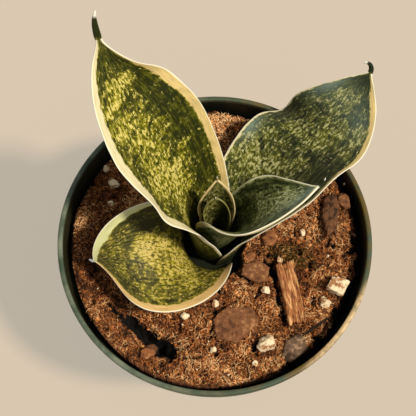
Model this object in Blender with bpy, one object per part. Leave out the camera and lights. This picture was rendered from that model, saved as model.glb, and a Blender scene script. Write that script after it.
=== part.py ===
"""Potted bird's-nest snake plant: six leaves in one rosette, in a thin round nursery pot.

The origin is the middle of the pot's base, on the surface that the pot stands on.
+Z is up, and the tall leaf leans back (+Y) and to the left (-X). Metres and degrees.
"""

import math
import random

import bmesh
import bpy
import numpy as np
from mathutils import Euler, Vector
from mathutils.bvhtree import BVHTree

MM = 0.001

# ---- driving dimensions: the pot ----
POT_HEIGHT = 110 * MM
RIM_RADIUS = 76 * MM
BASE_RADIUS = 56 * MM
WALL = 1.0 * MM
FLOOR_THICKNESS = 1.4 * MM
LIP_WIDTH = 2.5 * MM
LIP_DEPTH = 3.2 * MM
COLLAR_HEIGHT = 20 * MM
COLLAR_STEP = 1.4 * MM
COLLAR_FLARE = 0.6 * MM
BASE_ROUNDING = 1.5 * MM
NOTCH_COUNT = 6
NOTCH_RADIUS = 5.5 * MM
NOTCH_HEIGHT = 6 * MM
NOTCH_OVERHANG = 2.5 * MM
NOTCH_START = 33.1
DRAIN_COUNT = 4
DRAIN_RADIUS = 4 * MM
DRAIN_PITCH_RADIUS = 27 * MM
DRAIN_START = 18.7
ROUND_STEPS = 44

# ---- driving dimensions: the potting mix ----
HEADSPACE = 12 * MM
FIT_GAP = 0.35 * MM
SOIL_RINGS = 9
SHRINK_AZIMUTH = -42
SHRINK_SPREAD = 24
SHRINK_WIDTH = 9 * MM
SHRINK_DEPTH = 9 * MM
SHOULDER_DROP = 3 * MM

# ---- driving dimensions: the rosette ----
CROWN = (-1 * MM, 5 * MM)
CROWN_DEPTH = 8 * MM
HEART_RADIUS = 2.2 * MM
SHEATH_THICKNESS = 1.5 * MM
SHEATH_GAP = 1.2 * MM
BLADE_THICKNESS = 1.8 * MM
TIP_THICKNESS = 1.2 * MM
CROWN_GAP = 1.6 * MM
CROWN_FLARE = 5 * MM
CROWN_REST = 0.7 * MM
LEAF_ROWS = 24

# ---- driving dimensions: what lies on the mix ----
REST_GAP = 0.5 * MM
SETTLE_STEPS = 6

# Each leaf, from the outermost sheath in. lean is the angle from upright and facing is the
# compass angle, each at the base, middle and tip; sheath_facing is where the base's back points;
# twist is the turn about the midrib at middle and tip; wrap is how far the channel curls round.
# A wave pushes one margin off the channel: share of the length, height and spread.
LEAVES = [
    dict(name="leaf_low", length=65.5 * MM, half_width=30 * MM, widest=0.49, tip_shape=0.90,
         base_shape=2.0, lean=(11, 53, 130), facing=(219, 185.5, 193), sheath_facing=228,
         twist=(-15, -43), wrap=(162, 80, 51), left_wave=(0.67, 1.9 * MM, 0.12),
         right_wave=(0.60, 2.3 * MM, 0.11), awn_length=3.5 * MM, awn_radius=0.8 * MM,
         awn_lean=115, awn_facing=150, loop=18),
    dict(name="leaf_broad", length=110.5 * MM, half_width=34.5 * MM, widest=0.51, tip_shape=0.90,
         base_shape=1.85, lean=(4, 66, 67.5), facing=(44, 42, 55), sheath_facing=14,
         twist=(-25.5, -9), wrap=(196, 53, 22), left_wave=(0.65, -10.8 * MM, 0.07),
         right_wave=(0.58, 3.9 * MM, 0.08), awn_length=8 * MM, awn_radius=0.9 * MM,
         awn_lean=25, awn_facing=190, loop=18),
    dict(name="leaf_tall", length=135.5 * MM, half_width=31 * MM, widest=0.51, tip_shape=0.99,
         base_shape=1.5, lean=(0, 30.5, 30.5), facing=(92, 137, 108), sheath_facing=172,
         twist=(15.5, -5), wrap=(262, 94, 98), left_wave=(0.45, -3.3 * MM, 0.06),
         right_wave=(0.76, -5.3 * MM, 0.09), awn_length=12 * MM, awn_radius=1.15 * MM,
         awn_lean=40, awn_facing=88, loop=20),
    dict(name="leaf_young", length=93 * MM, half_width=23.5 * MM, widest=0.55, tip_shape=1.12,
         base_shape=1.4, lean=(2, 27.5, 52), facing=(-37, 3, 17), sheath_facing=-50,
         twist=(-41, -11.5), wrap=(306, 197, 66), left_wave=(0.60, 2.2 * MM, 0.12),
         right_wave=(0.67, -7 * MM, 0.13), awn_length=6 * MM, awn_radius=0.55 * MM,
         awn_lean=20, awn_facing=60, loop=26),
    dict(name="leaf_cup", length=58 * MM, half_width=10.7 * MM, widest=0.61, tip_shape=0.78,
         base_shape=1.5, lean=(2, 5.5, 11.5), facing=(88.5, 86.5, 93), sheath_facing=67,
         twist=(3.5, 5), wrap=(250, 161, 73), left_wave=(0.73, -1.2 * MM, 0.12),
         right_wave=(0.60, 0.2 * MM, 0.12), awn_length=2.5 * MM, awn_radius=0.5 * MM,
         awn_lean=14, awn_facing=92, loop=20),
    dict(name="leaf_heart", length=55 * MM, half_width=9 * MM, widest=0.64, tip_shape=0.42,
         base_shape=1.5, lean=(1.5, 0, 3), facing=(98, 93, 92.5), sheath_facing=50,
         twist=(0, 3), wrap=(240, 186, 73), left_wave=(0.70, 1.6 * MM, 0.12),
         right_wave=(0.60, 0.0, 0.12), awn_length=1.5 * MM, awn_radius=0.5 * MM,
         awn_lean=2, awn_facing=92, loop=20),
]

# Swells and hollows of the mix's surface: azimuth, share of the mix's radius, height, spread.
SWELLS = [
    (92, 0.86, 6.0 * MM, 15 * MM),
    (170, 0.90, 4.0 * MM, 14 * MM),
    (235, 0.82, -6.0 * MM, 11 * MM),
    (20, 0.80, 3.0 * MM, 13 * MM),
    (262, 0.62, 1.5 * MM, 17 * MM),
    (318, 0.45, 1.5 * MM, 16 * MM),
]

# Bark and wood: azimuth, share of the mix's radius, length, width, thickness, turn, tilt.
CHIPS = [
    ("wood_splinter", -34, 0.63, 31 * MM, 8.5 * MM, 4.5 * MM, -82, 3),
    ("bark_flake_large", -76, 0.58, 22 * MM, 16 * MM, 3.2 * MM, 14, 2),
    ("bark_chip_crown", -35, 0.355, 13 * MM, 11 * MM, 4.0 * MM, -20, 4),
    ("bark_nugget_right", 6, 0.39, 7.5 * MM, 6.5 * MM, 4.5 * MM, 35, 0),
    ("bark_strip_right", 15, 0.84, 22 * MM, 8.5 * MM, 5.0 * MM, 84, 6),
    ("bark_nugget_rim", 19, 0.96, 7.5 * MM, 5.5 * MM, 4.5 * MM, 100, 8),
    ("bark_flake_front", -53, 0.91, 14 * MM, 11 * MM, 3.4 * MM, 38, 12),
    ("husk_nugget_left", -121, 0.89, 7 * MM, 5.5 * MM, 4.0 * MM, 10, 0),
    ("bark_chip_back", 66, 0.88, 12 * MM, 8 * MM, 4.0 * MM, 20, 5),
]

# Perlite: azimuth, share of the mix's radius, and the grain's three sizes.
GRAINS = [
    (-20, 0.90, 10.5 * MM, 9.5 * MM, 7.5 * MM),
    (-29, 0.865, 6.8 * MM, 5.5 * MM, 5.0 * MM),
    (-64, 0.79, 8.5 * MM, 8.0 * MM, 6.0 * MM),
    (-44, 0.485, 4.2 * MM, 4.4 * MM, 3.4 * MM),
    (-14, 0.465, 3.0 * MM, 3.0 * MM, 2.6 * MM),
    (8, 0.62, 2.8 * MM, 4.0 * MM, 2.6 * MM),
    (-90, 0.43, 3.6 * MM, 3.6 * MM, 3.0 * MM),
    (-112, 0.55, 3.6 * MM, 4.0 * MM, 3.0 * MM),
    (-91, 0.75, 2.8 * MM, 3.4 * MM, 2.6 * MM),
    (-72, 0.88, 2.8 * MM, 2.8 * MM, 2.4 * MM),
    (148, 0.855, 6.0 * MM, 4.8 * MM, 4.0 * MM),
    (144, 0.97, 3.2 * MM, 3.6 * MM, 2.8 * MM),
    (158, 0.80, 3.4 * MM, 3.0 * MM, 2.8 * MM),
]

# Materials: colour, roughness, metallic.
FINISHES = {
    "pot_plastic": ((0.035, 0.060, 0.042), 0.42, 0.0),
    "potting_mix": ((0.150, 0.062, 0.030), 0.95, 0.0),
    "leaf": ((0.120, 0.150, 0.045), 0.36, 0.0),
    "bark": ((0.200, 0.085, 0.040), 0.85, 0.0),
    "perlite": ((0.760, 0.680, 0.560), 0.90, 0.0),
}


def clear_scene():
    for item in list(bpy.data.objects):
        bpy.data.objects.remove(item, do_unlink=True)


def material(name):
    found = bpy.data.materials.get(name)
    if found:
        return found
    colour, roughness, metallic = FINISHES[name]
    made = bpy.data.materials.new(name)
    made.use_nodes = True
    shader = made.node_tree.nodes["Principled BSDF"]
    shader.inputs["Base Color"].default_value = (*colour, 1.0)
    shader.inputs["Roughness"].default_value = roughness
    shader.inputs["Metallic"].default_value = metallic
    made.diffuse_color = (*colour, 1.0)
    return made


def add_object(name, points, faces, finish, smooth=True):
    """Make one object, with its faces turned outwards."""
    mesh = bpy.data.meshes.new(name)
    mesh.from_pydata([tuple(map(float, point)) for point in points], [], faces)
    work = bmesh.new()
    work.from_mesh(mesh)
    bmesh.ops.recalc_face_normals(work, faces=work.faces)
    if work.calc_volume(signed=True) < 0:
        bmesh.ops.reverse_faces(work, faces=work.faces)
    work.to_mesh(mesh)
    work.free()
    mesh.materials.append(material(finish))
    if smooth:
        mesh.shade_smooth()
        mesh.set_sharp_from_angle(angle=math.radians(40))
    item = bpy.data.objects.new(name, mesh)
    bpy.context.scene.collection.objects.link(item)
    return item


def ring_faces(rows, steps):
    """Quads between closed rings of `steps` points, `rows` rings in all."""
    faces = []
    for row in range(rows - 1):
        for step in range(steps):
            after = (step + 1) % steps
            low, high = row * steps, (row + 1) * steps
            faces.append((low + step, low + after, high + after, high + step))
    return faces


def turned(profile, steps):
    """Points and faces of a profile (radius, height) turned about Z, closed by a point at each end."""
    angle = np.arange(steps) * 2 * math.pi / steps
    rings = np.array([[(r * math.cos(a), r * math.sin(a), z) for a in angle] for r, z in profile[1:-1]])
    count = len(rings)
    points = list(rings.reshape(-1, 3)) + [(0, 0, profile[0][1]), (0, 0, profile[-1][1])]
    faces = ring_faces(count, steps)
    first, last = count * steps, count * steps + 1
    top = (count - 1) * steps
    for step in range(steps):
        after = (step + 1) % steps
        faces.append((first, after, step))
        faces.append((last, top + step, top + after))
    return points, faces


# ---- the pot ----

def taper(height):
    """Outer radius of the pot's plain wall, which reaches the collar's foot."""
    collar_foot = POT_HEIGHT - COLLAR_HEIGHT
    top = RIM_RADIUS - LIP_WIDTH + WALL - COLLAR_FLARE - COLLAR_STEP
    return BASE_RADIUS + (top - BASE_RADIUS) * height / collar_foot


def inner_radius(height):
    """Inner radius of the pot, whose wall has one thickness up to the lip."""
    collar_foot = POT_HEIGHT - COLLAR_HEIGHT
    mouth = RIM_RADIUS - LIP_WIDTH
    if height <= collar_foot:
        return taper(height) - WALL
    step_top = collar_foot + COLLAR_STEP
    low = mouth - COLLAR_FLARE
    if height >= step_top:
        return low + (mouth - low) * (height - step_top) / (POT_HEIGHT - step_top)
    start = taper(collar_foot) - WALL
    return start + (low - start) * (height - collar_foot) / COLLAR_STEP


def make_pot():
    foot = POT_HEIGHT - COLLAR_HEIGHT
    mouth = RIM_RADIUS - LIP_WIDTH
    roll = 0.35 * LIP_WIDTH
    arc = [math.radians(a) for a in (-90, -45, 0)]
    profile = [(0, 0)]
    centre = (taper(BASE_ROUNDING) - BASE_ROUNDING, BASE_ROUNDING)
    profile += [(centre[0] + BASE_ROUNDING * math.cos(a), centre[1] + BASE_ROUNDING * math.sin(a))
                for a in arc]
    profile += [
        (taper(foot / 2), foot / 2),
        (taper(foot), foot),
        (inner_radius(foot + COLLAR_STEP) + WALL, foot + COLLAR_STEP),
        (inner_radius(POT_HEIGHT - LIP_DEPTH) + WALL, POT_HEIGHT - LIP_DEPTH),
        (RIM_RADIUS - 0.3 * roll, POT_HEIGHT - LIP_DEPTH),
        (RIM_RADIUS, POT_HEIGHT - LIP_DEPTH + 0.4 * roll),
        (RIM_RADIUS, POT_HEIGHT - roll),
        (RIM_RADIUS - 0.3 * roll, POT_HEIGHT - 0.3 * roll),
        (RIM_RADIUS - roll, POT_HEIGHT),
        (mouth + 0.5 * roll, POT_HEIGHT),
        (mouth, POT_HEIGHT - 0.5 * roll),
        (inner_radius(foot + COLLAR_STEP), foot + COLLAR_STEP),
        (inner_radius(foot), foot),
        (inner_radius(foot / 2), foot / 2),
        (inner_radius(FLOOR_THICKNESS), FLOOR_THICKNESS),
        (0, FLOOR_THICKNESS),
    ]
    points, faces = turned(profile, ROUND_STEPS)
    pot = add_object("nursery_pot", points, faces, "pot_plastic")
    reach = FLOOR_THICKNESS + NOTCH_HEIGHT
    for index in range(NOTCH_COUNT):
        azimuth = math.radians(NOTCH_START) + 2 * math.pi * index / NOTCH_COUNT
        cut(pot, azimuth, BASE_RADIUS - NOTCH_OVERHANG, NOTCH_RADIUS, -reach, NOTCH_HEIGHT)
    for index in range(DRAIN_COUNT):
        azimuth = math.radians(DRAIN_START) + 2 * math.pi * index / DRAIN_COUNT
        cut(pot, azimuth, DRAIN_PITCH_RADIUS, DRAIN_RADIUS, -reach, reach)
    return pot


def cut(pot, azimuth, pitch, radius, low, high):
    """Cut an upright round hole through the pot, with a hidden cutter."""
    sides = 12
    place = (pitch * math.cos(azimuth), pitch * math.sin(azimuth))
    ring = [(place[0] + radius * math.cos(azimuth + 2 * math.pi * k / sides),
             place[1] + radius * math.sin(azimuth + 2 * math.pi * k / sides)) for k in range(sides)]
    points = [(x, y, low) for x, y in ring] + [(x, y, high) for x, y in ring]
    faces = ring_faces(2, sides) + [tuple(range(sides)), tuple(range(sides, 2 * sides))]
    cutter = add_object("cutter", points, faces, "pot_plastic", smooth=False)
    cutter.hide_render = True
    cutter.display_type = "WIRE"
    boolean = pot.modifiers.new("hole", "BOOLEAN")
    boolean.operation = "DIFFERENCE"
    boolean.solver = "EXACT"
    boolean.object = cutter


# ---- the potting mix ----

SOIL_LEVEL = POT_HEIGHT - HEADSPACE
CROWN_FLOOR = SOIL_LEVEL - CROWN_DEPTH
SHEATH_PITCH = SHEATH_THICKNESS + SHEATH_GAP
OUTER_SHEATH = HEART_RADIUS + (len(LEAVES) - 1) * SHEATH_PITCH


SHOULDER = min(SOIL_LEVEL - SHRINK_DEPTH - SHOULDER_DROP, POT_HEIGHT - COLLAR_HEIGHT)


def soil_radius():
    """The mix stands clear of the collar: its upper edge keeps the radius of its shoulder."""
    return inner_radius(SHOULDER) - FIT_GAP


def soil_height(x, y):
    """Height of the mix's surface: the level, plus swells, a ripple and the shrunk edge."""
    reach = soil_radius()
    height = SOIL_LEVEL + 0.5 * MM * math.sin(x / (5.5 * MM)) * math.cos(y / (6.5 * MM))
    for azimuth, share, rise, spread in SWELLS:
        a = math.radians(azimuth)
        d2 = (x - share * reach * math.cos(a)) ** 2 + (y - share * reach * math.sin(a)) ** 2
        height += rise * math.exp(-d2 / spread ** 2)
    turn = (math.degrees(math.atan2(y, x)) - SHRINK_AZIMUTH + 180) % 360 - 180
    edge = (math.hypot(x, y) - (reach - SHRINK_WIDTH)) / SHRINK_WIDTH
    edge = min(max(edge, 0.0), 1.0)
    height -= SHRINK_DEPTH * edge ** 2 * (3 - 2 * edge) * math.exp(-(turn / SHRINK_SPREAD) ** 2)
    return height


def make_mix():
    """One closed body: floor, side against the pot's wall, rough top, and the well for the crown."""
    angle = [2 * math.pi * k / ROUND_STEPS for k in range(ROUND_STEPS)]
    low = FLOOR_THICKNESS + FIT_GAP
    well_foot = OUTER_SHEATH + SHEATH_THICKNESS / 2 + CROWN_GAP
    well_top = well_foot + CROWN_FLARE
    rings = [[(r * math.cos(a), r * math.sin(a), z) for a in angle]
             for r, z in ((inner_radius(low) - FIT_GAP, low),
                          (inner_radius(SHOULDER / 2) - FIT_GAP, SHOULDER / 2),
                          (soil_radius(), SHOULDER))]
    outer = soil_radius()
    for ring in range(SOIL_RINGS):
        share = ring / (SOIL_RINGS - 1)
        points = []
        for a in angle:
            x = (1 - share) * outer * math.cos(a) + share * (CROWN[0] + well_top * math.cos(a))
            y = (1 - share) * outer * math.sin(a) + share * (CROWN[1] + well_top * math.sin(a))
            points.append((x, y, soil_height(x, y)))
        rings.append(points)
    well_floor = CROWN_FLOOR - CROWN_REST
    rings.append([(CROWN[0] + well_foot * math.cos(a), CROWN[1] + well_foot * math.sin(a), well_floor)
                  for a in angle])
    points = [point for ring in rings for point in ring]
    faces = ring_faces(len(rings), ROUND_STEPS)
    points += [(0, 0, low), (CROWN[0], CROWN[1], well_floor)]
    bottom, top = len(points) - 2, len(points) - 1
    last = (len(rings) - 1) * ROUND_STEPS
    for step in range(ROUND_STEPS):
        after = (step + 1) % ROUND_STEPS
        faces.append((bottom, after, step))
        faces.append((top, last + step, last + after))
    return add_object("potting_mix", points, faces, "potting_mix")


# ---- the leaves ----

def blend3(t, start, middle, end):
    """The parabola through three values, at the base, the middle and the tip."""
    return start * (1 - t) * (1 - 2 * t) + 4 * middle * t * (1 - t) + end * t * (2 * t - 1)


def directions(lean, facing):
    """Along the leaf, towards its upper face, and across it to the right, from two angles."""
    along = np.stack([np.sin(lean) * np.cos(facing), np.sin(lean) * np.sin(facing), np.cos(lean)], -1)
    upper = np.stack([-np.cos(lean) * np.cos(facing), -np.cos(lean) * np.sin(facing), np.sin(lean)], -1)
    return along, upper, np.cross(along, upper)


def half_width(t, leaf, base_half):
    """Half width along the leaf: it swells from the sheath, then narrows to the tip."""
    widest = leaf["widest"]
    swell = np.sin(math.pi / 2 * np.clip(t / widest, 0, 1)) ** leaf["base_shape"]
    narrow = np.cos(math.pi / 2 * np.clip((t - widest) / (1 - widest), 0, 1)) ** leaf["tip_shape"]
    full = leaf["half_width"]
    width = np.where(t < widest, base_half + (full - base_half) * swell, full * narrow)
    return np.hypot(width, leaf["awn_radius"] * t ** 4)


def leaf_rows(leaf, sheath_radius):
    """Rings of points from the base to the awn's point: an arc across, thick at the midrib."""
    t = 1 - (1 - np.linspace(0, 1, LEAF_ROWS)) ** 1.15
    lean = np.radians(blend3(t, *leaf["lean"]))
    facing = np.radians(blend3(t, *leaf["facing"]))
    along, upper, right = directions(lean, facing)
    untwist = (leaf["sheath_facing"] - leaf["facing"][0]) * (1 - t) ** 3
    turn = np.radians(blend3(t, 0, *leaf["twist"]) + untwist)[:, None]
    upper, right = upper * np.cos(turn) + right * np.sin(turn), right * np.cos(turn) - upper * np.sin(turn)
    back = math.radians(leaf["sheath_facing"])
    start = np.array([CROWN[0] + sheath_radius * math.cos(back), CROWN[1] + sheath_radius * math.sin(back),
                      CROWN_FLOOR])
    steps = np.diff(t)[:, None] * leaf["length"] * (along[1:] + along[:-1]) / 2
    midrib = start + np.concatenate([np.zeros((1, 3)), np.cumsum(steps, 0)])
    wrap = np.radians(np.maximum(blend3(t, *leaf["wrap"]), 3))
    width = half_width(t, leaf, sheath_radius * wrap[0] / 2)
    thickness = blend3(t, SHEATH_THICKNESS, BLADE_THICKNESS, TIP_THICKNESS)
    waves = [height * np.exp(-((t - share) / spread) ** 2)
             for share, height, spread in (leaf["left_wave"], leaf["right_wave"])]
    rings = [section(midrib[k], upper[k], right[k], width[k], wrap[k], thickness[k], waves[0][k],
                     waves[1][k], leaf["loop"]) for k in range(len(t))]
    return rings + awn_rings(leaf, midrib[-1], along[-1], upper[-1])


def section(middle, upper, right, width, wrap, thickness, left_wave, right_wave, loop):
    """One ring across the leaf: an arc of the given wrap, with rounded margins."""
    angle = 2 * math.pi * np.arange(loop) / loop
    across = np.cos(angle)
    offset = thickness / 2 * np.sign(np.sin(angle)) * np.abs(np.sin(angle)) ** 0.6
    offset += left_wave * np.clip(-across, 0, 1) ** 2 + right_wave * np.clip(across, 0, 1) ** 2
    bend = wrap / 2 * across
    radius = width / (wrap / 2)
    side = (radius - offset) * np.sin(bend)
    rise = radius * (1 - np.cos(bend)) + offset * np.cos(bend)
    return middle + side[:, None] * right + rise[:, None] * upper


def awn_rings(leaf, start, along, upper):
    """The stiff point that carries on from the leaf's tip, and may hook over."""
    lean, facing = math.radians(leaf["awn_lean"]), math.radians(leaf["awn_facing"])
    goal = np.array([math.sin(lean) * math.cos(facing), math.sin(lean) * math.sin(facing), math.cos(lean)])
    rings = []
    place = start.copy()
    count = 5
    for step in range(1, count + 1):
        share = step / count
        heading = (1 - share) * along + share * goal
        heading /= np.linalg.norm(heading)
        place = place + heading * leaf["awn_length"] / count
        normal = upper - heading * upper.dot(heading)
        normal /= np.linalg.norm(normal)
        radius = leaf["awn_radius"] * (1 - 0.75 * share ** 2)
        thickness = TIP_THICKNESS + (2 * radius - TIP_THICKNESS) * share
        rings.append(section(place, normal, np.cross(heading, normal), radius, 0.1, thickness, 0, 0, leaf["loop"]))
    return rings


def make_leaf(leaf, sheath_radius):
    loop = leaf["loop"]
    rings = leaf_rows(leaf, sheath_radius)
    points = np.concatenate(rings)
    faces = ring_faces(len(rings), loop)
    last = (len(rings) - 1) * loop
    for step in range(loop // 2):
        partner = (loop - step) % loop
        across = (step, step + 1, loop - step - 1, partner)
        corners = list(dict.fromkeys(across))
        faces.append(tuple(corners[::-1]))
        faces.append(tuple(last + corner for corner in corners))
    return add_object(leaf["name"], points, faces, "leaf")


# ---- what lies on the mix ----

def settle(item, ground):
    """Lower a piece straight down to the ground, then lift it until it is REST_GAP clear of it."""
    item.data.transform(item.matrix_basis)
    item.matrix_basis.identity()
    earth = bmesh.new()
    earth.from_mesh(ground.data)
    surface = BVHTree.FromBMesh(earth)
    solid = bmesh.new()
    solid.from_mesh(item.data)
    below = BVHTree.FromBMesh(solid)
    down = [surface.ray_cast(vertex.co, Vector((0, 0, -1))) for vertex in solid.verts]
    up = [below.ray_cast(vertex.co, Vector((0, 0, 1))) for vertex in earth.verts]
    drop = min(hit[3] for hit in down + up if hit[0] is not None)
    bmesh.ops.translate(solid, verts=solid.verts, vec=(0, 0, REST_GAP - drop))
    for attempt in range(SETTLE_STEPS):
        below = BVHTree.FromBMesh(solid)
        near = [surface.find_nearest(vertex.co) for vertex in solid.verts]
        near += [below.find_nearest(vertex.co, 4 * REST_GAP) for vertex in earth.verts]
        gap = min(hit[3] for hit in near if hit[0] is not None)
        if gap >= REST_GAP:
            break
        bmesh.ops.translate(solid, verts=solid.verts, vec=(0, 0, REST_GAP - gap))
    solid.to_mesh(item.data)
    solid.free()
    earth.free()


def place_on_mix(item, azimuth, share, turn, tilt, ground):
    """Put a piece above the mix at a polar place, turned and tilted, and let it down."""
    a = math.radians(azimuth)
    reach = soil_radius() * share
    height = POT_HEIGHT + HEADSPACE
    item.location = (reach * math.cos(a), reach * math.sin(a), height)
    item.rotation_euler = Euler((math.radians(tilt), math.radians(tilt / 2), math.radians(turn)))
    bpy.context.view_layer.update()
    settle(item, ground)


def make_chip(index, name, length, width, thickness):
    """A flat broken piece: an uneven outline, thinner at its edges."""
    draw = random.Random(100 + index)
    sides = 10
    outline = []
    for k in range(sides):
        a = 2 * math.pi * k / sides
        power = 0.62
        x = math.copysign(abs(math.cos(a)) ** power, math.cos(a)) * length / 2
        y = math.copysign(abs(math.sin(a)) ** power, math.sin(a)) * width / 2
        grow = 1 - 0.16 * draw.random()
        outline.append((x * grow, y * grow))
    points = []
    for inset, height in ((0.84, -0.5), (1.0, -0.15), (0.97, 0.25), (0.80, 0.5)):
        for x, y in outline:
            rough = 0.12 * (draw.random() - 0.5)
            points.append((x * inset, y * inset, (height + rough * (abs(height) < 0.4)) * thickness))
    faces = ring_faces(4, sides) + [tuple(range(sides)), tuple(range(3 * sides, 4 * sides))]
    return add_object(name, points, faces, "bark", smooth=False)


def make_grain(index, size):
    """An angular popped grain, wider than it is tall."""
    draw = random.Random(300 + index)
    work = bmesh.new()
    bmesh.ops.create_icosphere(work, subdivisions=1, radius=0.5)
    for vertex in work.verts:
        vertex.co *= 1.08 - 0.2 * draw.random()
    points = [(v.co.x * size[0], v.co.y * size[1], v.co.z * size[2]) for v in work.verts]
    faces = [tuple(v.index for v in face.verts) for face in work.faces]
    work.free()
    return add_object(f"perlite_grain_{index + 1:02d}", points, faces, "perlite", smooth=False)


def build():
    clear_scene()
    make_pot()
    mix = make_mix()
    for index, leaf in enumerate(LEAVES):
        ring = len(LEAVES) - 1 - index
        make_leaf(leaf, HEART_RADIUS + ring * SHEATH_PITCH)
    for index, (name, azimuth, share, length, width, thickness, turn, tilt) in enumerate(CHIPS):
        place_on_mix(make_chip(index, name, length, width, thickness), azimuth, share, turn, tilt, mix)
    for index, (azimuth, share, *size) in enumerate(GRAINS):
        place_on_mix(make_grain(index, size), azimuth, share, 40 * index, 0, mix)


build()
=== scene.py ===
# %% [markdown]
# # A potted bird's-nest snake plant
#
# The real object is a rosette of six thick, channelled leaves that stands in coir potting mix, in a
# thin green nursery pot. A fixed frame of plain solids says where each piece is. This lesson makes
# the surfaces that are seen: each is a formula worked out with numpy on a grid, given a finish that
# is made of nodes. All sizes are in metres, unless a name says otherwise.

# %% Load the frame
import math

import bpy
import numpy as np
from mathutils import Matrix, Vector


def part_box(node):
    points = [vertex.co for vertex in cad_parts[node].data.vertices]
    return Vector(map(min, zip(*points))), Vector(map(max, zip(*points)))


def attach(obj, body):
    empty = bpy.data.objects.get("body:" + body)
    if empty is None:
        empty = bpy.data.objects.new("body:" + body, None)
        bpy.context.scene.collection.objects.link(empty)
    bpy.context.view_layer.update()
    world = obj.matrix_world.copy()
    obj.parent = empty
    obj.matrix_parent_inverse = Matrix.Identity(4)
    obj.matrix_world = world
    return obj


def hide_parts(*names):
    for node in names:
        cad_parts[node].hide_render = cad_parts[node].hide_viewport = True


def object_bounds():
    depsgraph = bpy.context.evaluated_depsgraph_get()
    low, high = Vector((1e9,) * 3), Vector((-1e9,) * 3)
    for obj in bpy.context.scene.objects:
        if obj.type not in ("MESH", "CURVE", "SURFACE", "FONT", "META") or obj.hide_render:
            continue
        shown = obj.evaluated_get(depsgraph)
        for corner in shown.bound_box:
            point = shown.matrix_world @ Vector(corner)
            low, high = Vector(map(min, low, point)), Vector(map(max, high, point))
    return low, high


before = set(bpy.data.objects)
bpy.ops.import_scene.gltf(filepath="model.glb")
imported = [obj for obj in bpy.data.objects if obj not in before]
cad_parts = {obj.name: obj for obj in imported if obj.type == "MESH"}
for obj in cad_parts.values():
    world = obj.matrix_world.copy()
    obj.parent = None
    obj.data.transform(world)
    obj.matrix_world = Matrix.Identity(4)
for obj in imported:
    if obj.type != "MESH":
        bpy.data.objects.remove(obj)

MM = 0.001
cad_low, cad_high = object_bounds()
cad_size = [round((b - a) / MM) for a, b in zip(cad_low, cad_high)]
print("frame:", len(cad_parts), "nodes,", cad_size, "mm")

# %% [markdown]
# ## Camera, light and floor
#
# The plant is seen from above and a little in front, so that all the leaves show. The rim of the
# pot is the one round, level thing here, so the camera is placed from it. A real studio would use
# one soft lamp on the right and pale walls: a sun with a wide disc and an even sky do the same.

# %% Camera
pot_low, pot_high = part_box("nursery_pot")
rim_height = pot_high.z
rim_radius = (pot_high.x - pot_low.x) / 2
CAMERA_DISTANCE = 450 * MM
CAMERA_ELEVATION = math.radians(72.2)


def add_object(name, data):
    """An object that shows the data, put in the scene."""
    item = bpy.data.objects.new(name, data)
    bpy.context.scene.collection.objects.link(item)
    return item


lens = bpy.data.cameras.new("camera")
lens.sensor_width = 36
lens.lens = 80.65
lens.shift_x = -0.01635
lens.shift_y = 0.0726
camera = add_object("camera", lens)
away = Vector((0, -math.cos(CAMERA_ELEVATION), math.sin(CAMERA_ELEVATION)))
camera.location = Vector((0, 0, rim_height)) + away * CAMERA_DISTANCE
camera.rotation_euler = (-away).to_track_quat("-Z", "Y").to_euler()
bpy.context.scene.camera = camera
print("camera is", round(camera.location.z / MM), "mm up")

# %% Sun and sky
SUN_FROM = Vector((0.49, -0.20, 0.85))
sun = add_object("sun", bpy.data.lights.new("sun", "SUN"))
sun.data.energy = 3.9
sun.data.angle = math.radians(6)
sun.data.color = (1.0, 0.93, 0.80)
sun.rotation_euler = SUN_FROM.to_track_quat("Z", "Y").to_euler()

sky = bpy.data.worlds.new("sky")
sky.use_nodes = True
sky.node_tree.nodes["Background"].inputs["Color"].default_value = (0.94, 0.98, 1.0, 1)
sky.node_tree.nodes["Background"].inputs["Strength"].default_value = 0.42
bpy.context.scene.world = sky
bpy.context.scene.view_settings.view_transform = "Standard"
print("lights:", sun.name, "and the sky")

# %% [markdown]
# ## Tools for making finishes
#
# A finish is a small graph of nodes. To keep each one readable, a class holds the graph while it is
# built: every method adds one node and hands back its output, so a finish reads like a recipe.

# %% The finish maker


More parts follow.
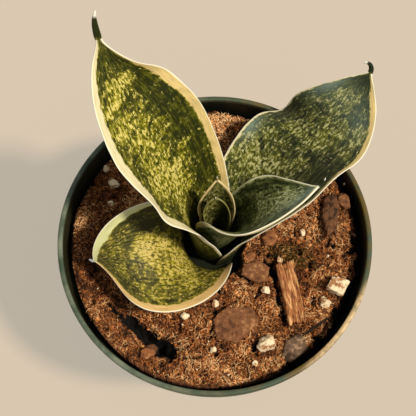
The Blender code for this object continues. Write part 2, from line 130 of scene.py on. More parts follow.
class Finish:
    """A material under construction. Each method adds one node and returns its output."""

    def __init__(self, name):
        self.material = bpy.data.materials.new(name)
        self.material.use_nodes = True
        self.tree = self.material.node_tree
        self.shader = self.tree.nodes["Principled BSDF"]

    def add(self, kind, inputs=(), output=0, **settings):
        """One node of the kind, with its settings made and its inputs joined."""
        node = self.tree.nodes.new(kind)
        for key, value in settings.items():
            setattr(node, key, value)
        for key, value in dict(inputs).items():
            self.join(value, node.inputs[key])
        return node.outputs[output]

    def join(self, value, socket):
        """Link an output to the socket, or set the socket to a plain number or colour."""
        if isinstance(value, bpy.types.NodeSocket):
            self.tree.links.new(value, socket)
        elif socket.type == "RGBA":
            socket.default_value = (*value, 1.0)
        else:
            socket.default_value = value

    def place(self):
        """Where a point is on the object, in millimetres."""
        place = self.add("ShaderNodeTexCoord", output="Object")
        return self.stretch(place, (1 / MM, 1 / MM, 1 / MM))

    def surface(self):
        """The piece's own map, which is in millimetres across and along it."""
        return self.add("ShaderNodeUVMap", uv_map="UVMap")

    def painted(self, name):
        """A number that is stored at each point of the mesh."""
        return self.add("ShaderNodeAttribute", output="Fac", attribute_name=name)

    def stretch(self, vector, factors):
        """The vector, multiplied along each axis: a small factor makes a pattern long."""
        return self.add("ShaderNodeVectorMath", {0: vector, 1: factors}, operation="MULTIPLY")

    def noise(self, vector, scale, detail=3.0, roughness=0.55, warp=0.0):
        """Clouds from 0 to 1, mostly near a half. The scale is in clouds per millimetre."""
        inputs = {"Vector": vector, "Scale": scale, "Detail": detail, "Roughness": roughness,
                  "Distortion": warp}
        return self.add("ShaderNodeTexNoise", inputs)

    def maths(self, operation, first, second):
        """One sum on two numbers."""
        return self.add("ShaderNodeMath", {0: first, 1: second}, operation=operation)

    def blend(self, first, first_share, second, second_share):
        """The two values in the given shares, added."""
        return self.maths("ADD", self.maths("MULTIPLY", first, first_share),
                          self.maths("MULTIPLY", second, second_share))

    def band(self, value, low, high, start=0.0, end=1.0):
        """A smooth rise from start to end as the value goes from low to high."""
        inputs = {"Value": value, "From Min": low, "From Max": high, "To Min": start, "To Max": end}
        return self.add("ShaderNodeMapRange", inputs, interpolation_type="SMOOTHSTEP")

    def mix(self, share, first, second):
        """Colour from the first to the second as share goes from 0 to 1."""
        node = self.tree.nodes.new("ShaderNodeMix")
        node.data_type = "RGBA"
        self.join(share, node.inputs["Factor"])
        colours = [socket for socket in node.inputs if socket.type == "RGBA"]
        self.join(first, colours[0])
        self.join(second, colours[1])
        return [socket for socket in node.outputs if socket.type == "RGBA"][0]

    def bump(self, height, distance):
        """A normal that leans as if the surface rose by distance where height goes from 0 to 1."""
        return self.add("ShaderNodeBump", {"Height": height, "Distance": distance})

    def done(self, colour, roughness, normal=None, **fixed):
        """Join the results to the shader. What is the same everywhere is set on its own sockets."""
        self.join(colour, self.shader.inputs["Base Color"])
        self.join(roughness, self.shader.inputs["Roughness"])
        if normal:
            self.join(normal, self.shader.inputs["Normal"])
        for key, value in fixed.items():
            self.join(value, self.shader.inputs[key.replace("_", " ")])
        print("finish:", self.material.name, "with", len(self.tree.nodes), "nodes")
        return self.material


print("the finish maker knows", sum(not name.startswith("_") for name in vars(Finish)), "kinds of step")

# %% [markdown]
# ## The floor
#
# The pot stands on a smooth, warm, pale surface. One large quad is enough for it. It is lit from
# below as well, like a glowing light table, so that the pot's shadow stays faint.

# %% Floor
FLOOR_HALF = 20.0
FLOOR_GLOW = (0.425, 0.388, 0.325)


def floor_finish():
    """Warm grey paint in very large, faint clouds."""
    finish = Finish("floor_paint")
    cloud = finish.noise(finish.place(), 0.004, 2)
    colour = finish.mix(cloud, (0.192, 0.137, 0.089), (0.198, 0.142, 0.093))
    return finish.done(colour, 0.9, Specular_IOR_Level=0.0, Emission_Color=FLOOR_GLOW, Emission_Strength=1.0)


floor_mesh = bpy.data.meshes.new("floor")
corners = [(x * FLOOR_HALF, y * FLOOR_HALF, 0) for x, y in ((-1, -1), (1, -1), (1, 1), (-1, 1))]
floor_mesh.from_pydata(corners, [], [(0, 1, 2, 3)])
floor_mesh.materials.append(floor_finish())
floor = add_object("floor", floor_mesh)
print("floor:", 2 * FLOOR_HALF, "m wide")

# %% [markdown]
# ## Tools for making surfaces
#
# Nearly every piece here is a closed tube of rings: a pot is rings about an axis, a leaf is rings
# across its midrib, a fibre is rings along a bent line. So one function numbers the quads between
# rings, one fills a piece's mesh straight from arrays, and the shapes themselves stay pure formulas.

# %% Meshes from arrays


def ring_quads(rows, columns):
    """Corner numbers of the quads between closed rings: `rows` rings of `columns` points each."""
    row, column = np.meshgrid(np.arange(rows - 1), np.arange(columns), indexing="ij")
    after = (column + 1) % columns
    low, high = row * columns, (row + 1) * columns
    return np.stack([low + column, low + after, high + after, high + column], -1).reshape(-1, 4)


def ring_fan(start, columns, centre, up):
    """Triangles from a ring to one point, facing up or down."""
    column = np.arange(columns)
    after = (column + 1) % columns
    order = (column, after) if up else (after, column)
    return np.stack([np.full(columns, centre), start + order[0], start + order[1]], -1)


def make_piece(name, points, blocks, finish, slot=None):
    """One object at the origin. Each block is an array of faces with the same number of corners."""
    mesh = bpy.data.meshes.new(name)
    points = np.ascontiguousarray(points, np.float32).reshape(-1, 3)
    corners = np.concatenate([block.ravel() for block in blocks]).astype(np.int32)
    sizes = np.concatenate([np.full(len(block), block.shape[1]) for block in blocks])
    starts = np.concatenate([[0], np.cumsum(sizes)[:-1]]).astype(np.int32)
    mesh.vertices.add(len(points))
    mesh.vertices.foreach_set("co", points.ravel())
    mesh.loops.add(len(corners))
    mesh.loops.foreach_set("vertex_index", corners)
    mesh.polygons.add(len(sizes))
    mesh.polygons.foreach_set("loop_start", starts)
    mesh.update(calc_edges=True)
    mesh.validate()
    mesh.shade_smooth()
    mesh.materials.append(finish)
    piece = add_object(name, mesh)
    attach(piece, "root")
    print(f"{name}: {int((sizes - 2).sum())} triangles")
    return piece


def paint(piece, name, values):
    """Store one number at each point, for the finish to read."""
    attribute = piece.data.attributes.new(name, "FLOAT", "POINT")
    attribute.data.foreach_set("value", np.ascontiguousarray(values, np.float32).ravel())


def lay_map(piece, across, along):
    """Give each point a place on the piece's own map, in millimetres."""
    corners = np.zeros(len(piece.data.loops), np.int32)
    piece.data.loops.foreach_get("vertex_index", corners)
    places = np.stack([np.ravel(across), np.ravel(along)], -1)[corners] / MM
    piece.data.uv_layers.new(name="UVMap").data.foreach_set("uv", places.astype(np.float32).ravel())


print("three rings of four points are joined by", len(ring_quads(3, 4)), "quads")

# %% [markdown]
# Natural surfaces are uneven at several sizes at once. A value noise gives that: random numbers sit
# on a lattice, and a smooth cubic blends them in between. A second kind, the distance to scattered
# points, gives round crumbs.

# %% Noise on whole arrays


def lattice(seed, *cells):
    """A repeatable random number, 0 to 1, for each lattice cell: the fraction of a large sine."""
    mixed = sum(cell * factor for cell, factor in zip(cells, (12.9898, 78.233, 37.719)))
    wave = np.sin(mixed + 4.137 * seed) * 43758.5453
    return wave - np.floor(wave)


def noise2(x, y, size, seed):
    """Value noise from -1 to 1: lattice values blended by 3f^2 - 2f^3 along both axes."""
    i, j = np.floor(x / size), np.floor(y / size)
    a, b = x / size - i, y / size - j
    a, b = a * a * (3 - 2 * a), b * b * (3 - 2 * b)
    low = lattice(seed, i, j) * (1 - a) + lattice(seed, i + 1, j) * a
    high = lattice(seed, i, j + 1) * (1 - a) + lattice(seed, i + 1, j + 1) * a
    return 2 * (low * (1 - b) + high * b) - 1


def noise3(points, size, seed):
    """The same noise in space, for points in an (..., 3) array."""
    cell = np.floor(points / size)
    part = points / size - cell
    part = part * part * (3 - 2 * part)
    total = 0
    for step in ((0, 0, 0), (1, 0, 0), (0, 1, 0), (1, 1, 0), (0, 0, 1), (1, 0, 1), (0, 1, 1), (1, 1, 1)):
        weight = np.prod(np.where(step, part, 1 - part), -1)
        total = total + weight * lattice(seed, *np.moveaxis(cell + step, -1, 0))
    return 2 * total - 1


def crumbs2(x, y, size, seed):
    """Round lumps from 0 to 1: one minus the distance to the nearest of the scattered points."""
    i, j = np.floor(x / size), np.floor(y / size)
    nearest = np.full(np.shape(x), 9.0)
    for di in (-1, 0, 1):
        for dj in (-1, 0, 1):
            u = i + di + lattice(seed, i + di, j + dj)
            v = j + dj + lattice(seed + 7, i + di, j + dj)
            nearest = np.minimum(nearest, np.hypot(x / size - u, y / size - v))
    return np.clip(1 - nearest, 0, 1)


trial = noise2(*np.random.default_rng(1).random((2, 1000)), 10 * MM, 1)
print("noise at a thousand places: from", round(trial.min(), 2), "to", round(trial.max(), 2))

# %% [markdown]
# ## The nursery pot
#
# A real one is a thin cup of green polypropylene, drawn or moulded in one piece: a tapered wall, a
# short collar that sits a little wider, and a rolled lip. It is turned here from one profile, as it
# would be on a lathe, and the drain holes and foot notches are cut from that shell afterwards.

# %% The pot's profile
BASE_RADIUS = 56 * MM
WALL = 1.0 * MM
FLOOR_THICKNESS = 1.4 * MM
LIP_WIDTH = 2.5 * MM
LIP_DEPTH = 3.2 * MM
COLLAR_HEIGHT = 20 * MM
COLLAR_STEP = 1.4 * MM
COLLAR_FLARE = 0.6 * MM
BASE_ROUNDING = 1.5 * MM
collar_foot = rim_height - COLLAR_HEIGHT
mouth_radius = rim_radius - LIP_WIDTH
collar_inside = mouth_radius - COLLAR_FLARE
wall_top = collar_inside - COLLAR_STEP + WALL


def smooth(share):
    """The cubic 3s^2 - 2s^3, level at both ends."""
    return share * share * (3 - 2 * share)


def outer_wall(height):
    """The taper's outer radius: a straight line from the base to the collar's foot."""
    return BASE_RADIUS + (wall_top - BASE_RADIUS) * height / collar_foot


def inside_radius(height):
    """The wall's inner radius: a straight taper, a smooth step, then the flared collar."""
    step = smooth(np.clip((height - collar_foot) / COLLAR_STEP, 0, 1))
    flare = (mouth_radius - collar_inside) * (height - collar_foot) / COLLAR_HEIGHT
    return np.minimum(outer_wall(height) - WALL, wall_top - WALL) + step * (COLLAR_STEP + flare)


def arc(radius, height, rounding, start, end, count=7):
    """Points on a round edge, from one angle to the other, in degrees."""
    angle = np.radians(np.linspace(start, end, count))
    return np.stack([radius + rounding * np.cos(angle), height + rounding * np.sin(angle)], -1)


def pot_profile():
    """Radius and height from the base's centre, up the outside, over the lip and down the inside."""
    roll = 0.45 * LIP_WIDTH
    wall = np.linspace(2 * BASE_ROUNDING, collar_foot - 1.0 * MM, 16)
    step = collar_foot + COLLAR_STEP * np.linspace(-0.5, 1.6, 9)
    collar = np.linspace(step[-1], rim_height - LIP_DEPTH - 0.4 * MM, 6)[1:]
    outside = [np.stack([outer_wall(wall), wall], -1)]
    outside += [np.stack([inside_radius(height) + WALL, height], -1) for height in (step, collar)]
    lip = [arc(rim_radius - 0.5 * MM, rim_height - LIP_DEPTH + 0.5 * MM, 0.5 * MM, -90, 0, 4),
           arc(rim_radius - roll, rim_height - roll, roll, 10, 90),
           arc(mouth_radius + 0.6 * MM, rim_height - 0.6 * MM, 0.6 * MM, 100, 180, 5)]
    down = np.linspace(rim_height - 1.2 * MM, collar_foot + 1.6 * COLLAR_STEP, 6)
    down = np.concatenate([down, step[::-1], wall[::-1]])
    corner = 1.0 * MM
    inside = [np.stack([inside_radius(down), down], -1),
              arc(inside_radius(FLOOR_THICKNESS) - corner, FLOOR_THICKNESS + corner, corner, 0, -90, 5)]
    foot = [arc(outer_wall(BASE_ROUNDING) - BASE_ROUNDING, BASE_ROUNDING, BASE_ROUNDING, -90, 0)]
    rings = np.concatenate(foot + outside + lip + inside)
    return np.concatenate([[(0, 0)], rings, [(0, FLOOR_THICKNESS)]])


print("pot profile:", len(pot_profile()), "points, mouth", round(2 * mouth_radius / MM, 1), "mm across")

# %% [markdown]
# The plastic is a dark, slightly waxy green. What makes it look used is a film on the lip. A painted
# highlight on the lip's front right and painted shade on the inner wall are laid on too. Each is a
# mask made from where a point is.

# %% The pot's finish


def pot_finish():
    """Green clouds, then a film and a painted highlight on the lip, then painted shade inside."""
    finish = Finish("green_polypropylene")
    place = finish.place()
    cloud = finish.noise(place, 0.035, 4)
    colour = finish.mix(cloud, (0.024, 0.043, 0.026), (0.048, 0.074, 0.040))
    axes = [finish.add("ShaderNodeSeparateXYZ", {0: place}, output=axis) for axis in "XYZ"]
    height = axes[2]
    # A film of dust gathers on the lip in patches; its colour goes from bluish on the left to brown on the
    # right.
    on_lip = finish.band(height, 107.5, 109.6)
    film = finish.band(finish.noise(place, 0.09, 6, 0.6), 0.32, 0.72)
    film_colour = finish.mix(finish.band(axes[0], -42.0, 36.0), (0.158, 0.178, 0.122), (0.112, 0.064, 0.004))
    colour = finish.mix(finish.maths("MULTIPLY", on_lip, film), colour, film_colour)
    # A painted highlight: the lip's top is pale in streaks at the front right, where the sun strikes it.
    highlight_streaks = finish.noise(finish.stretch(place, (1, 1, 0.3)), 0.22, 6, 0.7)
    highlight_streaks = finish.band(highlight_streaks, 0.30, 0.62, 0.15, 1.0)
    sunward_reach = finish.blend(axes[0], 0.80, axes[1], -0.60)
    lip_highlight = finish.maths("MULTIPLY", finish.maths("MULTIPLY", highlight_streaks, finish.band(sunward_reach, 69.5, 74.5)), on_lip)
    colour = finish.mix(lip_highlight, colour, (0.62, 0.42, 0.21))
    # Inside, painted shade darkens the wall up to the lip, most of all on the right. Inside means
    # nearer the axis than the middle of the wall, which is one straight line up the taper and another
    # up the collar.
    radius = finish.add("ShaderNodeVectorMath", {0: finish.stretch(place, (1, 1, 0))}, output="Value",
                        operation="LENGTH")
    taper = (wall_top - BASE_RADIUS) / collar_foot
    taper_line = finish.maths("ADD", finish.maths("MULTIPLY", height, taper), (BASE_RADIUS - WALL / 2) / MM)
    flare = COLLAR_FLARE / COLLAR_HEIGHT
    collar_line = finish.maths("ADD", finish.maths("MULTIPLY", height, flare),
                               (collar_inside + WALL / 2 - flare * collar_foot) / MM)
    on_collar = finish.band(height, collar_foot / MM + 0.5, collar_foot / MM + 0.9)
    step = finish.maths("MULTIPLY", on_collar, finish.maths("SUBTRACT", collar_line, taper_line))
    beyond = finish.maths("SUBTRACT", radius, finish.maths("ADD", taper_line, step))
    inside = finish.maths("MULTIPLY", finish.band(beyond, 0.1, -0.2), finish.band(height, 108.9, 107.0))
    # Painted shade on the inner wall: near black, darkest on the right, which faces away from the sun.
    darkening = finish.mix(finish.band(axes[0], -60.0, 10.0), (0.024, 0.022, 0.008), (0.007, 0.009, 0.005))
    colour = finish.mix(inside, colour, darkening)
    grain = finish.noise(place, 2.2, 3)
    roughness = finish.band(cloud, 0.3, 0.7, 0.40, 0.58)
    return finish.done(colour, roughness, finish.bump(grain, 0.06 * MM), Specular_IOR_Level=0.34)


pot_plastic = pot_finish()

# %% [markdown]
# Turning carries the profile round the axis. A fan of triangles closes each end, under the floor and
# on it, so the shell is one closed solid.

# %% Turn the pot
POT_STEPS = 240


def turned(profile, steps):
    """Each profile point goes round the axis: (r cos a, r sin a, z). The two ends are single points."""
    angle = 2 * math.pi * np.arange(steps) / steps
    radius, height = profile[1:-1, :1], profile[1:-1, 1:]
    # Thin plastic is never truly round: the radius wanders by about a tenth of a millimetre.
    wander = 1 + 0.0012 * (height / rim_height) * np.sin(2 * angle + 0.6) + 0.0005 * np.sin(5 * angle)
    reach = radius * wander
    rings = np.stack([reach * np.cos(angle), reach * np.sin(angle), height + 0 * angle], -1)
    count = len(rings)
    ends = np.array([(0, 0, profile[0, 1]), (0, 0, profile[-1, 1])])
    faces = [ring_quads(count, steps),
             np.concatenate([ring_fan(0, steps, count * steps, False),
                             ring_fan((count - 1) * steps, steps, count * steps + 1, True)])]
    return np.concatenate([rings.reshape(-1, 3), ends]), faces


points, blocks = turned(pot_profile(), POT_STEPS)
pot = make_piece("pot_shell", points, blocks, pot_plastic, "pot_plastic")

# %% [markdown]
# Water leaves by round holes in the floor and notches at the foot. Each is cut by a round bar that
# stands on a circle about the axis. Blender's Boolean does the cut, and its result becomes the mesh.

# %% Cut the holes
NOTCH_COUNT = 6
NOTCH_RADIUS = 5.5 * MM
NOTCH_HEIGHT = 6 * MM
NOTCH_OVERHANG = 2.5 * MM
NOTCH_START = 33.1
DRAIN_COUNT = 4
DRAIN_RADIUS = 4 * MM
DRAIN_PITCH_RADIUS = 27 * MM
DRAIN_START = 18.7
SHARP_EDGE = 38


def upright_holes(count, start, pitch, radius, low, high, sides=28):
    """Round cutters that stand on a circle about the axis, all in one mesh."""
    turn = np.radians(start) + 2 * math.pi * np.arange(count) / count
    angle = 2 * math.pi * np.arange(sides) / sides
    x = pitch * np.cos(turn)[:, None, None] + radius * np.cos(angle) * np.ones((2, 1))
    y = pitch * np.sin(turn)[:, None, None] + radius * np.sin(angle) * np.ones((2, 1))
    z = np.array([low, high])[:, None] + 0 * x
    points = np.stack([x, y, z], -1).reshape(-1, 3)
    ring = ring_quads(2, sides)
    caps = np.stack([np.arange(sides)[::-1], sides + np.arange(sides)])
    shift = (2 * sides * np.arange(count))[:, None, None]
    return points, [(ring + shift).reshape(-1, 4), (caps + shift).reshape(-1, sides)]


def cut_away(piece, cutters):
    """Subtract the cutters from the piece, keep the result as its mesh, and drop the cutters."""
    for cutter in cutters:
        change = piece.modifiers.new("hole", "BOOLEAN")
        change.operation = "DIFFERENCE"
        change.object = cutter
    bpy.context.view_layer.update()
    cut = piece.evaluated_get(bpy.context.evaluated_depsgraph_get())
    mesh = bpy.data.meshes.new_from_object(cut)
    piece.modifiers.clear()
    piece.data = mesh
    for cutter in cutters:
        bpy.data.objects.remove(cutter)
    mesh.set_sharp_from_angle(angle=math.radians(SHARP_EDGE))


past = NOTCH_HEIGHT + FLOOR_THICKNESS
notch_pitch = BASE_RADIUS - NOTCH_OVERHANG
holes = [upright_holes(NOTCH_COUNT, NOTCH_START, notch_pitch, NOTCH_RADIUS, -past, NOTCH_HEIGHT),
         upright_holes(DRAIN_COUNT, DRAIN_START, DRAIN_PITCH_RADIUS, DRAIN_RADIUS, -past, past)]
cut_away(pot, [make_piece(f"cutter_{k}", *hole, pot_plastic) for k, hole in enumerate(holes)])
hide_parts("nursery_pot")
print("pot after cutting:", len(pot.data.polygons), "faces")

# %% [markdown]
# ## The potting mix
#
# The mix is chopped coir and peat. It settles into swells and hollows, shrinks away from the wall
# where it dries, and its surface is crumbs and fibres. The body is a height over a round grid. The
# square grid is bent to a disc by x = u sqrt(1 - v^2/2), y = v sqrt(1 - u^2/2), which keeps the cells
# nearly the same size everywhere, where a fan of rings would crowd them at the middle.

# %% Sizes of the mix
HEADSPACE = 12 * MM
FIT_GAP = 0.35 * MM
SHRINK_AZIMUTH = -42
SHRINK_SPREAD = 24
SHRINK_WIDTH = 9 * MM
SHRINK_DEPTH = 9 * MM
SHOULDER_DROP = 3 * MM
CROWN = np.array([-1 * MM, 5 * MM])
CROWN_DEPTH = 8 * MM
WELL_RADIUS = 17.5 * MM
WELL_FLARE = 5 * MM
NARROW_WELL = 14.6 * MM
NARROW_FLARE = 2.6 * MM
LOW_LEAF_AZIMUTH = 228
mix_level = rim_height - HEADSPACE
crown_floor = mix_level - CROWN_DEPTH
shoulder = min(mix_level - SHRINK_DEPTH - SHOULDER_DROP, collar_foot)
mix_radius = outer_wall(shoulder) - WALL - FIT_GAP
print("mix: level", round(mix_level / MM, 1), "mm, radius", round(mix_radius / MM, 1), "mm")

# %% [markdown]
# Watering and settling leave broad swells and hollows. Grooves run beside the chips, where the mix
# has shrunk from them, and cracks lie in between. Each is a bell, so they simply add up.

# %% Swells and grooves
# Swells and hollows: azimuth, share of the mix's radius, height, spread.
SWELLS = [
    (92, 0.90, 7.0 * MM, 13 * MM),
    (170, 0.92, 5.0 * MM, 12 * MM),
    (-146, 0.95, 4.0 * MM, 9 * MM),
    (235, 0.82, -4.0 * MM, 10 * MM),
    (20, 0.80, 3.0 * MM, 13 * MM),
    (262, 0.62, 1.5 * MM, 17 * MM),
    (318, 0.45, 1.5 * MM, 16 * MM),
]
# Grooves and cracks: place, length, width and depth in millimetres, and turn in degrees.
GROOVES = [
    (29.6, -23, 29, 3.4, 5.0, -80),
    (26.5, -13, 9, 3.4, 4.0, -78),
    (-1.8, -42, 14, 2.2, 3.6, 74),
    (5.5, -31.5, 17, 1.9, 3.2, 28),
    (4.0, -51.5, 12, 1.9, 3.2, -40),
    (19.0, -52.0, 7, 3.0, 4.0, 80),
    (14.0, -17.5, 11, 2.0, 3.2, -42),
    (24.0, -9.0, 6, 2.2, 3.0, 70),
    (-36.0, -44.5, 24, 6.5, 9.0, -40),
    (-24.5, -52.5, 13, 7.5, 8.0, -25),
    (-11.0, -57.5, 15, 2.0, 3.0, 8),
    (-50.0, -33.0, 10, 2.4, 3.5, -50),
    (-58.0, 3.0, 12, 2.4, 3.0, 60),
    (56.0, 4.0, 12, 2.0, 2.6, 80),
    (47.0, -17.0, 9, 1.8, 2.2, -35),
    (36.5, -20.5, 10, 1.8, 2.6, -66),
    (20.5, -25.5, 9, 1.7, 2.6, 62),
    (3.0, -24.5, 8, 1.6, 2.4, -30),
    (-14.0, -52.0, 9, 1.8, 2.6, 40),
    (31.0, -54.0, 9, 1.8, 2.6, 12),
    (46.0, -30.0, 8, 1.8, 2.6, 70),
    (-60.0, -14.0, 9, 2.0, 3.0, 80),
]


def groove_depth(x, y):
    """Across a groove, exp(-a^2), and along it, exp(-a^4), with flat ends and a wandering line."""
    depth_here = 0 * x
    wander_x, wander_y = (1.4 * MM * (noise2(x, y, 4 * MM, seed) - 0.5) for seed in (61, 62))
    x, y = x + wander_x, y + wander_y
    for *sizes, turn in GROOVES:
        gx, gy, length, width, depth = (size * MM for size in sizes)
        a = math.radians(turn)
        along = ((x - gx) * math.cos(a) + (y - gy) * math.sin(a)) / (length / 2)
        across = ((y - gy) * math.cos(a) - (x - gx) * math.sin(a)) / (width / 2)
        depth_here = depth_here + depth * np.exp(-across ** 2 - along ** 4)
    return depth_here


def level_here(x, y):
    """The mean level, plus a bell for each swell."""
    height = mix_level + 0.5 * MM * np.sin(x / (5.5 * MM)) * np.cos(y / (6.5 * MM))
    for azimuth, share, rise, spread in SWELLS:
        a = math.radians(azimuth)
        apart = (x - share * mix_radius * math.cos(a)) ** 2 + (y - share * mix_radius * math.sin(a)) ** 2
        height = height + rise * np.exp(-apart / spread ** 2)
    return height


print(len(SWELLS), "swells and", len(GROOVES), "grooves")

# %% [markdown]
# Beside the wall the mix has dropped in a wide gap at the front right, and in a narrow steep one
# further round. The crown stands in a well. What is left is crumbly: round lumps of three sizes,
# pits, and grit.

# %% The surface of the mix
STEEP_GAP_TURN = 32
STEEP_GAP_SPREAD = 17
STEEP_GAP_WIDTH = 5.5 * MM
STEEP_GAP_SLOPE = 3.5 * MM
STEEP_GAP_DEPTH = 7 * MM
WIDE_WELL_TURN = 100
WIDE_WELL_BLEND = 16
SHADE_START = 0.4 * MM
SHADE_REACH = 3.6 * MM


def turn_from(x, y, azimuth):
    """The angle of a place from an azimuth, in degrees from -180 to 180."""
    return (np.degrees(np.arctan2(y, x)) - azimuth + 180) % 360 - 180


def edge_drop(x, y):
    """How far the mix has fallen away beside the wall, in the wide gap and in the steep one."""
    turn = turn_from(x, y, SHRINK_AZIMUTH)
    ragged = 3.0 * MM * (noise2(x, y, 5 * MM, 71) - 0.5) + 2.0 * MM * (noise2(x, y, 2 * MM, 72) - 0.5)
    edge = np.clip((np.hypot(x, y) + ragged - mix_radius + SHRINK_WIDTH) / SHRINK_WIDTH, 0, 1)
    steep = np.clip((np.hypot(x, y) + 1.5 * ragged - mix_radius + STEEP_GAP_WIDTH) / STEEP_GAP_SLOPE, 0, 1)
    near_wide = np.exp(-(turn / SHRINK_SPREAD) ** 2)
    near_steep = np.exp(-((turn - STEEP_GAP_TURN) / STEEP_GAP_SPREAD) ** 2)
    return SHRINK_DEPTH * smooth(edge) * near_wide + STEEP_GAP_DEPTH * smooth(steep) * near_steep


def crumbly(x, y):
    """The mix's real surface: its height, with lumps of three sizes, pits and a fine grit."""
    height = level_here(x, y) - groove_depth(x, y) - edge_drop(x, y)
    # Large lumps, taller in some places than in others, then two sizes of small ones.
    height = height + 2.9 * MM * (crumbs2(x, y, 6.5 * MM, 3) - 0.60) * (0.6 + 0.6 * noise2(x, y, 17 * MM, 5))
    height = height + 1.7 * MM * (crumbs2(x, y, 2.6 * MM, 11) - 0.55)
    height = height + 1.0 * MM * (crumbs2(x, y, 1.3 * MM, 19) - 0.5)
    # Pits where two noises peak, and the grit.
    pits = np.clip(noise2(x, y, 4.2 * MM, 29) - 0.60, 0, 0.25) / 0.25
    pits = pits + np.clip(noise2(x, y, 2.2 * MM, 31) - 0.72, 0, 0.2) / 0.2
    height = height - 2.3 * MM * pits + 0.6 * MM * noise2(x, y, 0.9 * MM, 23)
    return height + (crown_floor - MM - height) * into_well(x, y)


def into_well(x, y, reach=0.0):
    """Share of the way down the crown's well: it is wider under the low leaf than on the other sides."""
    turn = turn_from(x - CROWN[0], y - CROWN[1], LOW_LEAF_AZIMUTH)
    wide = smooth(np.clip((WIDE_WELL_TURN - np.abs(turn)) / WIDE_WELL_BLEND, 0, 1))
    radius = NARROW_WELL + (WELL_RADIUS - NARROW_WELL) * wide
    flare = NARROW_FLARE + (WELL_FLARE - NARROW_FLARE) * wide
    well = np.hypot(x - CROWN[0], y - CROWN[1])
    return smooth(np.clip((radius + flare + reach - well) / flare, 0, 1))


def shade_of(x, y, z):
    """How deep a point lies below the mean level, as a share: 0 on top, 1 down in a crack."""
    return np.clip((level_here(x, y) - SHADE_START - z) / SHADE_REACH, 0, 1)


print("mix at the crown:", round(float(crumbly(*CROWN)) / MM, 1), "mm up")

# %% [markdown]
# The body is that surface, closed by rings down the wall and a fan of triangles at the bottom. The
# mesh also stores how deep each point lies, because a crack is dark mostly for want of light, and
# finish and shape then agree.

# %% The body of the mix
MIX_CELLS = 270


def mix_body():
    """The bent square grid on top, rings down the side and a fan below, with each point's shade."""
    line = np.linspace(-1, 1, MIX_CELLS + 1)
    u, v = np.meshgrid(line, line, indexing="ij")
    x = mix_radius * u * np.sqrt(1 - v * v / 2)
    y = mix_radius * v * np.sqrt(1 - u * u / 2)
    top = np.stack([x, y, crumbly(x, y)], -1).reshape(-1, 3)
    number = np.arange(len(top)).reshape(u.shape)
    quads = np.stack([number[:-1, :-1], number[1:, :-1], number[1:, 1:], number[:-1, 1:]], -1)
    quads = quads.reshape(-1, 4)
    border = np.concatenate([number[:-1, 0], number[-1, :-1], number[:0:-1, -1], number[0, :0:-1]])
    edge = top[border]
    around = edge[:, :2] / np.linalg.norm(edge[:, :2], axis=1)[:, None]
    low = FLOOR_THICKNESS + FIT_GAP
    sides = []
    for height in (shoulder, shoulder / 2, low):
        ring = around * (inside_radius(height) - FIT_GAP)
        sides.append(np.concatenate([ring, np.full((len(ring), 1), height)], 1))
    count = len(border)
    first = len(top)
    rings = [border] + [first + k * count + np.arange(count) for k in range(len(sides))]
    walls = [np.stack([a, b, np.roll(b, -1), np.roll(a, -1)], -1) for a, b in zip(rings, rings[1:])]
    points = np.concatenate([top] + sides + [[(0, 0, low)]])
    shade = np.ones(len(points))
    shade[:len(top)] = shade_of(*top.T)
    fan = np.stack([np.full(count, len(points) - 1), np.roll(rings[-1], -1), rings[-1]], -1)
    return points, [quads] + walls + [fan], shade


def mix_finish():
    """Fine light and dark grit, black where the surface lies deep, and painted shade in the crown's well."""
    finish = Finish("coir_mix")
    place = finish.place()
    fine = finish.noise(place, 0.9, 5, 0.7)
    broad = finish.noise(place, 0.06, 2)
    value = finish.blend(fine, 0.75, broad, 0.35)
    value = finish.maths("SUBTRACT", value, finish.maths("MULTIPLY", finish.painted("shade"), 0.30))
    colour = finish.mix(finish.band(value, 0.34, 0.52), (0.004, 0.003, 0.002), (0.095, 0.034, 0.013))
    colour = finish.mix(finish.band(value, 0.54, 0.72), colour, (0.420, 0.190, 0.075))
    # Painted shade: the mix down in the crown's well is near black.
    colour = finish.mix(finish.painted("well"), colour, (0.007, 0.009, 0.003))
    return finish.done(colour, 0.95, finish.bump(fine, 0.5 * MM), Specular_IOR_Level=0.2)


points, blocks, shade = mix_body()
mix = make_piece("mix_body", points, blocks, mix_finish(), "potting_mix")
paint(mix, "shade", shade)
paint(mix, "well", into_well(points[:, 0], points[:, 1]) * (points[:, 2] > shoulder / 2))
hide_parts("potting_mix")

# %% [markdown]
# What lies loose on the mix gives it its look: crumbs of peat and pith, short curls of coir, and
# grit of perlite. Each crumb is a ball of twenty faces with its corners pushed in or out, and each
# fibre is a thin three-sided tube on an arc. Thousands of them are worked out at once, as arrays,
# and joined in one mesh, with a tone for each so that the finish can vary from one to the next.

# %% Where things lie
EDGE_CLEARANCE = 1.0 * MM
draw = np.random.default_rng(7)
# Where the mix has dried pale, and where it is darker: wet round the moss, and painted shade where
# the leaves shadow it. Place and spread in millimetres, strength.
DRY_AND_SHADED_PATCHES = [
    (0, 69, 11, 0.60), (-67, 12, 9, 0.35), (12, -60, 14, 0.20), (40, 16, 14, 0.20), (58, 12, 10, 0.14),
    (30, -42, 9, 0.06), (-60, -14, 14, -0.32), (-57, 28, 12, -0.18), (36, -6, 13, -0.14),
    (20, -8, 8, -0.14), (-46, -34, 10, -0.16), (44, -16, 12, -0.10), (-35, -52, 12, -0.10),
]


def dryness(x, y):
    """The sum of the patches' bells."""
    return sum(strength * np.exp(-((x / MM - px) ** 2 + (y / MM - py) ** 2) / spread ** 2)
               for px, py, spread, strength in DRY_AND_SHADED_PATCHES)


